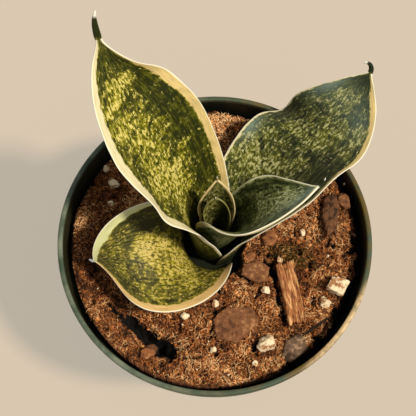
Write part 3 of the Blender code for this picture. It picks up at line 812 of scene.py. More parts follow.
def strewn(count):
    """Even places on the round surface, outside the crown: radius is the root of a random share."""
    reach = mix_radius - EDGE_CLEARANCE
    radius, angle = reach * np.sqrt(draw.random(count)), 2 * math.pi * draw.random(count)
    x, y = radius * np.cos(angle), radius * np.sin(angle)
    clear = (into_well(x, y, 0.8 * MM) < 0.05) & (shade_of(x, y, crumbly(x, y)) < 0.8)
    return x[clear], y[clear]


print("dryness at the middle:", round(float(dryness(0, 0)), 3))

# %% [markdown]
# A crumb is small, so the plainest ball will do: the icosahedron, with twelve corners and twenty
# faces. Its corners are the cyclic orders of (0, 1, golden ratio), and two are joined when near.

# %% One crumb's ball


def ball_of_twenty():
    """The twelve corners and twenty faces of an icosahedron, from the golden ratio."""
    gold = (1 + math.sqrt(5)) / 2
    corners = []
    for a in (-1, 1):
        for b in (-gold, gold):
            corners += [(0, a, b), (a, b, 0), (b, 0, a)]
    corners = np.array(corners) / math.hypot(1, gold)
    apart = np.linalg.norm(corners[:, None] - corners[None], axis=-1)
    near = (apart > 0.1) & (apart < 1.2)
    faces = [(i, j, k) for i in range(12) for j in range(i + 1, 12) for k in range(j + 1, 12)
             if near[i, j] and near[j, k] and near[i, k]]
    faces = np.array(faces)
    a, b, c = corners[faces[:, 0]], corners[faces[:, 1]], corners[faces[:, 2]]
    inward = (np.cross(b - a, c - a) * a).sum(1) < 0
    faces[inward] = faces[inward][:, ::-1]
    return corners, faces


BALL_CORNERS, BALL_FACES = ball_of_twenty()
print("ball:", len(BALL_CORNERS), "corners,", len(BALL_FACES), "faces")

# %% [markdown]
# Two functions lay things on the mix: one heaps crumbs, the other lays fibres. Both ask the surface
# how high it is, and paint each thing with a tone of its own, its shade, and how dry the mix is there,
# less painted shade where the leaves shadow it.

# %% Heaps and strands


def crumb_heap(name, x, y, size, finish, slot, flat=0.7, sink=0.2, rough=0.35):
    """Crumbs of the given sizes: each ball is pushed about, squeezed, turned and set on the mix."""
    count = len(x)
    corners = BALL_CORNERS * (1 - rough * draw.random((count, 12, 1)))
    squeeze = (0.35 + 0.65 * draw.random((count, 1, 3))) * np.array([1, 1, flat])
    corners = corners * squeeze * size[:, None, None] / 2
    turn = 2 * math.pi * draw.random(count)[:, None]
    cos, sin = np.cos(turn), np.sin(turn)
    ground = crumbly(x, y)
    points = np.stack([corners[..., 0] * cos - corners[..., 1] * sin + x[:, None],
                       corners[..., 0] * sin + corners[..., 1] * cos + y[:, None],
                       corners[..., 2] + (ground + size * (0.5 * flat - sink))[:, None]], -1)
    faces = (BALL_FACES[None] + 12 * np.arange(count)[:, None, None]).reshape(-1, 3)
    piece = make_piece(name, points, [faces], finish, slot)
    paint(piece, "tone", np.repeat(draw.random(count), 12))
    paint(piece, "shade", np.repeat(shade_of(x, y, ground), 12))
    paint(piece, "dry", np.repeat(dryness(x, y), 12))


def strands(name, x, y, length, radius, finish, slot, curl, lift, knots, arch=0.12, heading=None):
    """Bent fibres: heading turns evenly along each, it arches off the mix, and it thins to its ends."""
    count = len(x)
    share = np.linspace(-0.5, 0.5, knots)
    start = 2 * math.pi * draw.random(count) if heading is None else heading
    angle = start[:, None] + curl * draw.normal(size=(count, 1)) * share
    step = length[:, None] / (knots - 1)
    line_x, line_y = np.cumsum(np.cos(angle) * step, 1), np.cumsum(np.sin(angle) * step, 1)
    line_x += x[:, None] - line_x.mean(1, keepdims=True)
    line_y += y[:, None] - line_y.mean(1, keepdims=True)
    rise = arch * np.abs(draw.normal(size=(count, 1))) * (1 - 4 * share ** 2)
    rise = rise + 0.22 * draw.normal(size=(count, 1)) * share
    ground = crumbly(line_x, line_y)
    line_z = 0.5 * ground + 0.5 * ground.mean(1, keepdims=True) + lift + rise * length[:, None]
    line = np.stack([line_x, line_y, line_z], -1)
    ahead = np.gradient(line, axis=1)
    ahead /= np.linalg.norm(ahead, axis=-1, keepdims=True)
    side = np.cross(ahead, (0, 0, 1.0))
    side /= np.linalg.norm(side, axis=-1, keepdims=True)
    above = np.cross(side, ahead)
    thin = radius[:, None] * (1 - 0.75 * (2 * np.abs(share)) ** 3)
    turn = np.radians((90, 210, 330))
    rings = line[:, :, None] + thin[..., None, None] * (
        np.cos(turn)[:, None] * side[:, :, None] + np.sin(turn)[:, None] * above[:, :, None])
    shift = (3 * knots * np.arange(count))[:, None, None]
    quads = (ring_quads(knots, 3)[None] + shift).reshape(-1, 4)
    ends = np.array([(2, 1, 0), (3 * knots - 3, 3 * knots - 2, 3 * knots - 1)])
    piece = make_piece(name, rings, [quads, (ends[None] + shift).reshape(-1, 3)], finish, slot)
    paint(piece, "tone", np.repeat(draw.random(count), 3 * knots))
    paint(piece, "shade", np.repeat(shade_of(line_x, line_y, ground).ravel(), 3))
    paint(piece, "dry", np.repeat(dryness(line_x, line_y).ravel(), 3))


print("a strand of 4 knots has", len(ring_quads(4, 3)) * 2 + 2, "triangles")

# %% [markdown]
# Peat crumbs are dark and red, coir fibres paler, and both bleach as they dry. One recipe serves
# them all: a value from each thing's own tone, a mottle, and how dry it is, with painted shade where
# the leaves shadow the mix, and three colours.

# %% Finishes for loose things
DEEP_SHADE = (0.004, 0.002, 0.001)


def strewn_finish(name, dark, middle, light):
    """A tone from dark to light for each crumb or fibre, mottled, and darker the deeper it lies."""
    finish = Finish(name)
    mottle = finish.noise(finish.place(), 1.3, 3)
    value = finish.blend(finish.painted("tone"), 0.8, mottle, 0.4)
    patchy = finish.band(finish.noise(finish.place(), 0.11, 3), 0.38, 0.62, -0.26, 0.14)
    # The dry value makes crumbs paler where the mix has dried; its negative bells are wet mix and painted
    # shade of the leaves.
    value = finish.maths("ADD", value, finish.maths("ADD", finish.painted("dry"), patchy))
    colour = finish.mix(finish.band(value, 0.10, 0.60), dark, middle)
    colour = finish.mix(finish.band(value, 0.60, 1.0), colour, light)
    sunk = finish.band(finish.painted("shade"), 0.25, 0.85, 0.0, 0.97)
    colour = finish.mix(sunk, colour, DEEP_SHADE)
    return finish.done(colour, 0.9, finish.bump(mottle, 0.2 * MM), Specular_IOR_Level=0.25)


peat = strewn_finish("peat_crumb", (0.018, 0.007, 0.003), (0.385, 0.122, 0.029), (0.720, 0.335, 0.110))
coir = strewn_finish("coir_fibre", (0.070, 0.022, 0.007), (0.520, 0.180, 0.045), (0.960, 0.625, 0.300))

# %% [markdown]
# Most of the crumbs are small, and a few are large: a random share raised to a power gives that.
# The fibres come in three kinds, short, fine and long.

# %% Strew the crumbs and fibres
# Crumbs: name, how many, least size and spread in millimetres, power, flatness and roughness.
CRUMBS = [
    ("peat_crumbs", 9000, 0.8, 1.8, 2, 0.7, 0.35),
    ("bark_crumbs", 2600, 1.6, 2.6, 3, 0.5, 0.5),
]
for name, count, least, spread, skew, flat, rough in CRUMBS:
    x, y = strewn(count)
    size = (least + spread * draw.random(len(x)) ** skew) * MM
    crumb_heap(name, x, y, size, peat, "potting_mix", flat=flat, rough=rough)

# Fibres: name, how many, least length and spread, power, least radius and spread, curl, lift, knots.
FIBRES = [
    ("coir_fibres_short", 9600, 1.0, 2.6, 1, 0.14, 0.17, 1.0, 0.3, 4),
    ("coir_fibres_fine", 6400, 1.4, 2.8, 1, 0.09, 0.10, 0.7, 0.8, 4),
    ("coir_fibres_long", 4400, 2.0, 4.5, 2, 0.11, 0.11, 1.5, 0.5, 7),
]
for name, count, least, spread, skew, thin, thicker, curl, lift, knots in FIBRES:
    x, y = strewn(count)
    length = (least + spread * draw.random(len(x)) ** skew) * MM
    radius = (thin + thicker * draw.random(len(x))) * MM
    strands(name, x, y, length, radius, coir, "potting_mix", curl=curl, lift=lift * MM, knots=knots)

# %% [markdown]
# White grit is crushed perlite, a volcanic glass puffed by heat. The smallest is strewn at random,
# and the bits that catch the eye are listed one by one.

# %% Perlite grit


def perlite_finish():
    """White foam glass with brown stains, pitted."""
    finish = Finish("puffed_perlite")
    place = finish.place()
    darkening = finish.band(finish.noise(place, 0.30, 4, 0.65), 0.47, 0.60)
    colour = finish.mix(darkening, (0.86, 0.68, 0.44), (0.36, 0.16, 0.06))
    froth = finish.noise(place, 1.6, 4, 0.7)
    return finish.done(colour, 0.85, finish.bump(froth, 0.35 * MM), Specular_IOR_Level=0.3)


puffed = perlite_finish()
x, y = strewn(230)
size = (0.5 + 1.1 * draw.random(len(x)) ** 3) * MM
crumb_heap("perlite_grit", x, y, size, puffed, "perlite", sink=0.0, rough=0.3)
# Larger bits: place and size in millimetres.
BITS = [
    (33.8, -2.4, 2.9), (55.6, -5.7, 3.0), (-4.7, -30.2, 3.2), (-6.9, -36.8, 2.7), (65.0, 31.6, 3.2),
    (-15.5, -40.5, 2.3), (-3.5, -50.0, 2.4), (-2.0, -48.6, 1.8), (60.8, 35.0, 2.2), (21.5, -13.5, 1.8),
    (-27.0, -62.5, 2.2), (-48.0, -18.5, 2.2), (-8.5, -62.0, 2.0), (38.0, -32.0, 1.8), (-60.5, 20.5, 2.2),
    (-57.0, -22.0, 1.8), (44.5, -47.5, 2.0), (24.0, 3.0, 1.7),
]
x, y, size = np.array(BITS).T * MM
crumb_heap("perlite_bits", x, y, size, puffed, "perlite", flat=0.9, sink=-0.12, rough=0.30)

# %% [markdown]
# A green film of algae and moss grows where the mix stays wet. It is a thick mat of short curled
# strands in a leaning oval.

# %% Moss
MOSS_COUNT = 1100
MOSS_PLACE = (37.5 * MM, -5.5 * MM)
MOSS_SIZE = (12 * MM, 5.5 * MM)
MOSS_RADIUS = 0.20 * MM
moss = strewn_finish("moss", (0.030, 0.020, 0.004), (0.150, 0.080, 0.012), (0.360, 0.210, 0.038))
angle = 2 * math.pi * draw.random(MOSS_COUNT)
reach = draw.random(MOSS_COUNT) ** 0.7 * (0.8 + 0.5 * draw.random(MOSS_COUNT))
x = MOSS_PLACE[0] + MOSS_SIZE[0] * reach * np.cos(angle)
y = MOSS_PLACE[1] + MOSS_SIZE[1] * reach * np.sin(angle) - 0.25 * (x - MOSS_PLACE[0])
length = (0.9 + 1.6 * draw.random(MOSS_COUNT)) * MM
strands("moss_patch", x, y, length, np.full(MOSS_COUNT, MOSS_RADIUS), moss, "potting_mix", curl=2.0,
        lift=0.4 * MM, knots=5, arch=0.35)

# %% [markdown]
# A few pale straws lie on top, and two dark slivers of bark lie in the gap beside the wall. They are
# long enough to be seen one by one, so each is listed with its place.

# %% Straws and slivers
# Place, length and thickness in millimetres, and heading in degrees.
STRAWS = [
    (49.7, -13.5, 12.0, 0.42, 46), (5.3, -67.0, 8.0, 0.40, -52), (22.0, -50.5, 6.0, 0.25, 20),
    (12.5, -18.0, 7.5, 0.30, 38), (35.0, 18.0, 7.0, 0.22, -30), (55.0, 8.0, 6.0, 0.25, 60),
    (-20.0, -46.0, 8.0, 0.25, 15), (-41.0, -33.0, 7.0, 0.25, 80), (42.0, -38.0, 8.0, 0.25, 68),
    (16.0, -62.0, 6.5, 0.22, 100), (-12.0, -58.0, 6.0, 0.25, -20), (60.0, -2.0, 5.0, 0.22, 120),
]
SLIVERS = [(48.0, -41.5, 17.0, 0.9, 33), (61.5, -24.0, 10.0, 0.7, 66)]


def lay_by_hand(name, rows, finish, slot, curl, lift, arch):
    """Strands of nine knots at the listed places."""
    *sizes, heading = np.array(rows).T
    x, y, length, thick = (size * MM for size in sizes)
    strands(name, x, y, length, thick, finish, slot, curl=curl, lift=lift, knots=9, arch=arch,
            heading=np.radians(heading))


straw = strewn_finish("straw", (0.250, 0.130, 0.060), (0.520, 0.320, 0.160), (0.760, 0.580, 0.360))
lay_by_hand("straws", STRAWS, straw, "potting_mix", curl=0.25, lift=1.1 * MM, arch=0.02)
sliver = strewn_finish("sliver", (0.020, 0.010, 0.005), (0.110, 0.048, 0.020), (0.220, 0.105, 0.045))
lay_by_hand("slivers", SLIVERS, sliver, "bark", curl=0.2, lift=2.0 * MM, arch=0.0)

# %% [markdown]
# ## Bark and wood
#
# The mix holds chips of pine bark and one splinter of wood. Bark breaks along straight lines into
# flat flakes, and wood splits along its grain. The outline is cut as a sawyer would cut it: each
# side is a straight line at a distance from the middle, and in any direction the nearest line wins.
# The edge is a sine raised to a low power, flat on the faces and round at the rim. Noise roughens
# it, and on wood a noise of one direction cuts grooves along the grain.

# %% The chip's shape
CHIP_SINK = 0.9 * MM
CHIP_COLUMNS = 128
CHIP_ROWS = 44


def power(value, exponent):
    """A sine or cosine raised to a power with its sign kept."""
    return np.sign(value) * np.abs(value) ** exponent


def sawn(around, sides):
    """The outline's radius: the least of distance / cos(angle from the side's normal)."""
    lines = [share / np.clip(np.cos(around - math.radians(turn)), 0.05, 1) for turn, share in sides]
    return np.min(lines, 0)


def leaned_and_turned(points, turn, tilt):
    """Lean about the long axis by the tilt, then turn about the vertical: two plane rotations."""
    a, b = math.radians(turn), math.radians(tilt)
    x, y, z = points.T
    y, z = y * math.cos(b) - z * math.sin(b), y * math.sin(b) + z * math.cos(b)
    return np.stack([x * math.cos(a) - y * math.sin(a), x * math.sin(a) + y * math.cos(a), z], -1)


def ball_blocks(columns, rows):
    """The faces of a closed ball: rings from the top down, then its top point and its bottom point."""
    return [ring_quads(rows, columns)[:, ::-1],
            np.concatenate([ring_fan(0, columns, rows * columns, True),
                            ring_fan((rows - 1) * columns, columns, rows * columns + 1, False)])]


def chip(name, size, turn, tilt, finish, seed, sides, worn, ragged=0.03, grain=0.0, node=None, place=None):
    """A flake centred on its solid, or at a place: a sawn outline, rough edges, faces nearly flat."""
    length, width, thickness = (part * MM for part in size)
    around = 2 * math.pi * np.arange(CHIP_COLUMNS) / CHIP_COLUMNS
    down = math.pi * (np.arange(CHIP_ROWS) + 0.5) / CHIP_ROWS
    uneven = noise2(9 * np.cos(around) + 20, 9 * np.sin(around) + 20, 1.0, seed)
    outline = sawn(around, sides) * (1 + ragged * uneven)
    out = np.sin(down)[:, None] ** worn
    x = length / 2 * out * outline * np.cos(around)
    y = width / 2 * out * outline * np.sin(around)
    z = thickness / 2 * power(np.cos(down), 0.55)[:, None] + 0 * x
    poles = np.array([(0, 0, thickness / 2), (0, 0, -thickness / 2)])
    points = np.concatenate([np.stack([x, y, z], -1).reshape(-1, 3), poles])
    own = points.copy()
    spot = own + seed
    points[:, 2] += 0.45 * MM * noise3(spot, 4.5 * MM, seed) + 0.16 * MM * noise3(spot, 1.1 * MM, seed + 2)
    points[:, :2] *= 1 + 0.03 * noise3(spot, 2.0 * MM, seed + 3)[:, None]
    if grain:
        fibres = noise2(own[:, 1] + 0.04 * own[:, 0] + seed * MM, 0.02 * own[:, 0], 1.1 * MM, seed)
        fibres = fibres + 0.5 * noise2(own[:, 1] + seed * MM, 0.05 * own[:, 0], 0.5 * MM, seed + 4)
        at_end = np.abs(own[:, 0]) > 0.4 * length
        points[:, 2] += grain * MM * fibres * np.sign(own[:, 2])
        points[:, 0] += 2 * grain * MM * fibres * np.sign(own[:, 0]) * at_end
    middle = sum(np.array(corner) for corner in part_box(node)) / 2 if node else np.array(place) * MM
    placed = leaned_and_turned(points, turn, tilt) + middle - np.array([0, 0, CHIP_SINK])
    piece = make_piece(name, placed, ball_blocks(CHIP_COLUMNS, CHIP_ROWS), finish, "bark")
    lay_map(piece, own[:, 1], own[:, 0])
    if node:
        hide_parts(node)


print("a chip has", 2 * CHIP_COLUMNS * CHIP_ROWS, "triangles")

# %% [markdown]
# Split wood shows long pale streaks of its grain. Bark is corky, in clouds of brown with no
# direction. Age darkens both, so one recipe for each and five sets of colours are enough.

# %% Finishes for bark and wood


def wood_finish(name, dark, middle, light, streak):
    """Streaks that run along the chip: its own map, stretched so that noise is long in one direction."""
    finish = Finish(name)
    along = finish.stretch(finish.surface(), (streak, 0.12, 1))
    lines = finish.noise(along, 1.0, 5, 0.65)
    cloud = finish.noise(finish.place(), 0.35, 4, 0.6)
    value = finish.blend(lines, 0.85, cloud, 0.15)
    colour = finish.mix(finish.band(value, 0.39, 0.47), dark, middle)
    colour = finish.mix(finish.band(value, 0.51, 0.60), colour, light)
    return finish.done(colour, 0.8, finish.bump(lines, 0.3 * MM), Specular_IOR_Level=0.3)


def bark_finish(name, dark, middle, light):
    """Clouds of cork at two sizes, from dark to light."""
    finish = Finish(name)
    place = finish.place()
    cork = finish.noise(place, 0.45, 6, 0.62)
    scale = finish.noise(place, 0.13, 3, 0.5, 0.4)
    cork = finish.blend(cork, 0.6, scale, 0.4)
    colour = finish.mix(finish.band(cork, 0.40, 0.50), dark, middle)
    colour = finish.mix(finish.band(cork, 0.52, 0.62), colour, light)
    dust = finish.noise(place, 1.9, 3)
    return finish.done(colour, 0.85, finish.bump(dust, 0.25 * MM), Specular_IOR_Level=0.25)


split_wood = wood_finish("split_wood", (0.030, 0.010, 0.005), (0.320, 0.112, 0.033), (0.650, 0.350, 0.140),
                         streak=0.75)
brown_bark = bark_finish("brown_bark", (0.085, 0.031, 0.012), (0.180, 0.070, 0.026), (0.350, 0.160, 0.062))
old_bark = bark_finish("old_bark", (0.030, 0.013, 0.006), (0.125, 0.050, 0.019), (0.240, 0.115, 0.050))
red_bark = bark_finish("red_bark", (0.080, 0.028, 0.010), (0.250, 0.090, 0.030), (0.460, 0.220, 0.085))
grey_bark = bark_finish("grey_bark", (0.040, 0.020, 0.010), (0.120, 0.070, 0.040), (0.330, 0.200, 0.115))

# %% [markdown]
# Each chip has a size, a turn and a tilt, an outline and a finish. Nine of them stand for solids of
# the frame. The last three are too small or lie too deep to have one, so they have a place instead.

# %% The chips
# Outlines: the direction of each side's normal in degrees, and its distance as a share.
BOX = [(0, 1.0), (87, 0.98), (184, 1.0), (272, 0.92)]
SHARD = [(5, 0.95), (62, 0.88), (118, 1.0), (170, 0.90), (228, 0.95), (292, 0.86), (335, 1.0)]
WEDGE = [(10, 0.80), (75, 0.95), (135, 0.85), (190, 1.0), (262, 0.90), (318, 0.92)]
# Sizes, places and depths of grain are in millimetres, turns and tilts in degrees.
CHIPS = [
    dict(name="splinter", node="wood_splinter", size=(31, 9.2, 5), turn=-79, tilt=4,
         finish=split_wood, grain=0.55, worn=0.20, sides=BOX),
    dict(name="large_flake", node="bark_flake_large", size=(23, 17, 3.0), turn=24, tilt=2,
         finish=brown_bark, worn=0.22, sides=SHARD, ragged=0.05),
    dict(name="crown_chip", node="bark_chip_crown", size=(14.5, 11, 3.6), turn=-24, tilt=4,
         finish=brown_bark, worn=0.26, sides=WEDGE, ragged=0.04),
    dict(name="right_nugget", node="bark_nugget_right", size=(8.5, 7.5, 4.2), turn=35, tilt=0,
         finish=red_bark, worn=0.42, sides=SHARD),
    dict(name="right_strip", node="bark_strip_right", size=(24, 9, 4.4), turn=84, tilt=6,
         finish=old_bark, grain=0.35, worn=0.45, sides=WEDGE, ragged=0.08),
    dict(name="rim_nugget", node="bark_nugget_rim", size=(8.5, 6.5, 4.5), turn=100, tilt=8,
         finish=brown_bark, worn=0.42, sides=WEDGE),
    dict(name="front_flake", node="bark_flake_front", size=(15.5, 10.5, 3.2), turn=40, tilt=12,
         finish=grey_bark, grain=0.25, worn=0.28, sides=WEDGE, ragged=0.05),
    dict(name="left_husk", node="husk_nugget_left", size=(7.5, 5.5, 4), turn=10, tilt=0,
         finish=red_bark, worn=0.45, sides=SHARD),
    dict(name="back_chip", node="bark_chip_back", size=(12, 8, 4), turn=20, tilt=5,
         finish=brown_bark, worn=0.35, sides=SHARD),
    dict(name="crown_nugget", place=(17.3, -6.4, 98.4), size=(6.9, 6.0, 4.6), turn=60, tilt=0,
         finish=red_bark, worn=0.5, sides=SHARD),
    dict(name="hollow_nugget", place=(-30.5, -50.5, 91.6), size=(6.6, 5.2, 5.0), turn=-30, tilt=10,
         finish=old_bark, worn=0.5, sides=WEDGE),
    dict(name="hollow_peel", place=(-39.5, -46.0, 93.2), size=(13.0, 4.2, 2.6), turn=-52, tilt=10,
         finish=red_bark, worn=0.4, sides=SHARD, ragged=0.08),
]
for seed, parts in enumerate(CHIPS):
    chip(seed=seed + 31, **parts)

# %% [markdown]
# ## Perlite grains
#
# The thirteen largest grains are pieces of their own. Perlite is white foam glass: angular from
# crushing, pitted all over, and stained by the mix. Along each direction from the middle, the
# nearest of nine random planes gives the radius, which cuts flat broken sides, and a fine noise in
# space adds the pits.

# %% The thirteen grains
GRAIN_COLUMNS = 56
GRAIN_ROWS = 32
PLANE_COUNT = 9
# The largest grain broke square, at this turn.
SQUARE_GRAIN = 1
SQUARE_TURN = 64


def grain(name, node, seed):
    """A ball fitted to its solid's box, cut flat by its planes, then roughened by noise."""
    low, high = (np.array(corner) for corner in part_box(node))
    around = 2 * math.pi * np.arange(GRAIN_COLUMNS) / GRAIN_COLUMNS
    down = math.pi * (np.arange(GRAIN_ROWS) + 0.5) / GRAIN_ROWS
    ball = np.stack([np.sin(down)[:, None] * np.cos(around), np.sin(down)[:, None] * np.sin(around),
                     np.cos(down)[:, None] + 0 * around], -1).reshape(-1, 3)
    ball = np.concatenate([ball, [(0, 0, 1), (0, 0, -1)]])
    size = (high - low) / 2
    shape = np.random.default_rng(70 + seed)
    normals = shape.normal(size=(PLANE_COUNT, 3))
    normals /= np.linalg.norm(normals, axis=1, keepdims=True)
    if seed == SQUARE_GRAIN:
        a = math.radians(SQUARE_TURN) + math.pi / 2 * np.arange(4)
        normals[:4] = np.stack([np.cos(a), np.sin(a), 0 * a], -1)
        normals[4] = (0, 0, 1)
    planes = (0.66 + 0.24 * shape.random(PLANE_COUNT)) / np.clip(ball @ normals.T, 0.05, 1)
    spot = ball + 17.3 * seed
    radius = np.minimum(planes.min(1), 1.15)
    radius = radius + 0.10 * noise3(spot, 0.42, seed) + 0.07 * noise3(spot, 0.20, seed + 1)
    radius -= 0.22 * np.clip(noise3(spot, 0.30, seed + 2) - 0.45, 0, 1)
    points = (low + high) / 2 + np.array([0, 0, 0.1 * MM]) + ball * radius[:, None] * size * 1.10
    piece = make_piece(name, points, ball_blocks(GRAIN_COLUMNS, GRAIN_ROWS), puffed, "perlite")
    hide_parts(node)


for number in range(1, 14):
    grain(f"perlite_{number:02d}", f"perlite_grain_{number:02d}", number)

# %% [markdown]
# ## The leaves
#
# Each leaf is one thick blade that is rolled into a sheath at its base and opens to a channel. A
# midrib line is led up from the crown by two angles, its lean and its compass facing, each a
# parabola along the leaf. Across it lies an arc whose curl shrinks towards the tip. The half width
# swells by a power of a sine, then narrows by a power of a cosine, and the leaf ends in a stiff
# rolled point, the awn. The same numbers shape the solids of the frame, so the two agree.

# %% The leaf's line and width
HEART_RADIUS = 2.2 * MM
SHEATH_THICKNESS = 1.5 * MM
SHEATH_GAP = 1.2 * MM
BLADE_THICKNESS = 1.8 * MM
TIP_THICKNESS = 1.2 * MM
LEAF_ROWS = 230
LEAF_LOOP = 132
AWN_ROWS = 14


def blend3(t, start, middle, end):
    """The parabola through three values, at the base, the middle and the tip."""
    return start * (1 - t) * (1 - 2 * t) + 4 * middle * t * (1 - t) + end * t * (2 * t - 1)


def directions(lean, facing):
    """Along the leaf, towards its upper face, and across it to the right, from two angles."""
    along = np.stack([np.sin(lean) * np.cos(facing), np.sin(lean) * np.sin(facing), np.cos(lean)], -1)
    upper = np.stack([-np.cos(lean) * np.cos(facing), -np.cos(lean) * np.sin(facing), np.sin(lean)], -1)
    return along, upper, np.cross(along, upper)


def half_width(t, leaf, base_half):
    """It swells from the sheath as a sine to a power, then narrows as a cosine to a power."""
    widest = leaf["widest"]
    swell = np.sin(math.pi / 2 * np.clip(t / widest, 0, 1)) ** leaf["base_shape"]
    narrow = np.cos(math.pi / 2 * np.clip((t - widest) / (1 - widest), 0, 1)) ** leaf["tip_shape"]
    full = leaf["half_width"]
    width = np.where(t < widest, base_half + (full - base_half) * swell, full * narrow)
    return np.hypot(width, leaf["awn_radius"] * t ** 4)


def sheath_radius(ring):
    """Each sheath wraps the ones inside it, with a small gap."""
    return HEART_RADIUS + ring * (SHEATH_THICKNESS + SHEATH_GAP)


print("sheath radii, mm:", [round(sheath_radius(ring) / MM, 1) for ring in range(6)])

# %% [markdown]
# Each ring of the blade is an arc with rounded margins, thick in the middle. On top of the smooth
# shape come one wave on either margin, a small ripple, and a slight unevenness of the blade.

# %% The blade
UNEVEN = 0.22 * MM


def section(middle, upper, right, width, wrap, thickness, push):
    """Rings across the leaf: arcs of the given wrap, with rounded margins. Arrays are rows by loop."""
    angle = 2 * math.pi * np.arange(LEAF_LOOP) / LEAF_LOOP
    across = np.cos(angle)[None]
    offset = thickness[:, None] / 2 * power(np.sin(angle), 0.6)[None] + push
    bend = wrap[:, None] / 2 * across
    radius = (width / (wrap / 2))[:, None]
    side = (radius - offset) * np.sin(bend)
    rise = radius * (1 - np.cos(bend)) + offset * np.cos(bend)
    return middle[:, None] + side[..., None] * right[:, None] + rise[..., None] * upper[:, None]


def blade(leaf, ring, seed):
    """The blade's rings, with what the finish needs: share along, share across and half width."""
    t = 1 - (1 - np.linspace(0, 1, LEAF_ROWS)) ** 1.15
    reach = sheath_radius(ring)
    lean, facing = (np.radians(blend3(t, *leaf[angles])) for angles in ("lean", "facing"))
    along, upper, right = directions(lean, facing)
    untwist = (leaf["sheath_facing"] - leaf["facing"][0]) * (1 - t) ** 3
    turn = np.radians(blend3(t, 0, *leaf["twist"]) + untwist)[:, None]
    upper, right = upper * np.cos(turn) + right * np.sin(turn), right * np.cos(turn) - upper * np.sin(turn)
    back = math.radians(leaf["sheath_facing"])
    start = [CROWN[0] + reach * math.cos(back), CROWN[1] + reach * math.sin(back), crown_floor]
    steps = np.diff(t)[:, None] * leaf["length"] * (along[1:] + along[:-1]) / 2
    midrib = np.array(start) + np.concatenate([np.zeros((1, 3)), np.cumsum(steps, 0)])
    wrap = np.radians(np.maximum(blend3(t, *leaf["wrap"]), 3))
    width = half_width(t, leaf, reach * wrap[0] / 2)
    thickness = blend3(t, SHEATH_THICKNESS, BLADE_THICKNESS, TIP_THICKNESS)
    across = np.cos(2 * math.pi * np.arange(LEAF_LOOP) / LEAF_LOOP)[None]
    push = 0
    for (share, height, spread), side in ((leaf["left_wave"], -across), (leaf["right_wave"], across)):
        wave = height * MM * np.exp(-((t - share) / spread) ** 2)
        push = push + wave[:, None] * np.clip(side, 0, 1) ** 2
    # Margins ripple a little, and the blade is never quite fair.
    length, out = (t * leaf["length"])[:, None], width[:, None] * across
    ripple = noise2(length, np.sign(across) * 40 * MM, 7 * MM, seed) * np.abs(across) ** 6
    uneven = noise2(length, out, 9 * MM, seed + 3) * (1 - np.abs(across) ** 4)
    push = push + leaf["ripple"] * ripple * smooth(np.clip(4 * t, 0, 1))[:, None] + UNEVEN * uneven
    rings = section(midrib, upper, right, width, wrap, thickness, push)
    return rings, t, across, width, (midrib[-1], along[-1], upper[-1])


print("a blade has", LEAF_ROWS, "rings of", LEAF_LOOP, "points")

# %% [markdown]
# The awn goes on from the last ring. It is rolled round, thins to its end, and may hook aside.

# %% The awn


def awn(leaf, start, along, upper):
    """The point: its heading turns from the leaf's own by way of two goals, and its radius shrinks."""
    ways = [leaf["awn_goal"], leaf.get("awn_hook", leaf["awn_goal"])]
    goal, hook = (directions(math.radians(lean), math.radians(facing))[0] for lean, facing in ways)
    share = (np.arange(1, AWN_ROWS + 1) / AWN_ROWS)[:, None]
    heading = (1 - share) ** 2 * along + 2 * share * (1 - share) * goal + share ** 2 * hook
    heading /= np.linalg.norm(heading, axis=1, keepdims=True)
    line = start + np.cumsum(heading * leaf["awn_length"] / AWN_ROWS, 0)
    normal = upper - heading * (heading @ upper)[:, None]
    normal /= np.linalg.norm(normal, axis=1, keepdims=True)
    share = share[:, 0]
    radius = leaf["awn_radius"] * (1 - 0.80 * share ** 2)
    thickness = TIP_THICKNESS + (2 * radius - TIP_THICKNESS) * share
    right = np.cross(heading, normal)
    return section(line, normal, right, radius, np.full(AWN_ROWS, 0.1), thickness, 0)


print("an awn has", AWN_ROWS, "rings more")

# %% [markdown]
# The leaf's markings are mostly grown in, so they follow the blade and not the light, but some dark
# patches are painted shadow of other leaves and of the crown, and the sheen is a painted reflection of
# the sky. Each margin has a cream band whose width changes along the leaf, and the green between has
# pale flecks, dense in some patches and missing in others. The bands, in millimetres, and the patches
# are worked out here for each point and stored on the mesh. The finish adds what is finer than the mesh.

# %% Build one leaf


def bell(along, across, share, side, reach_along, reach_across, strength):
    """A soft oval patch: a bell in both directions about a place on the blade."""
    return strength * np.exp(-((along - share) / reach_along) ** 2 - ((across - side) / reach_across) ** 2)


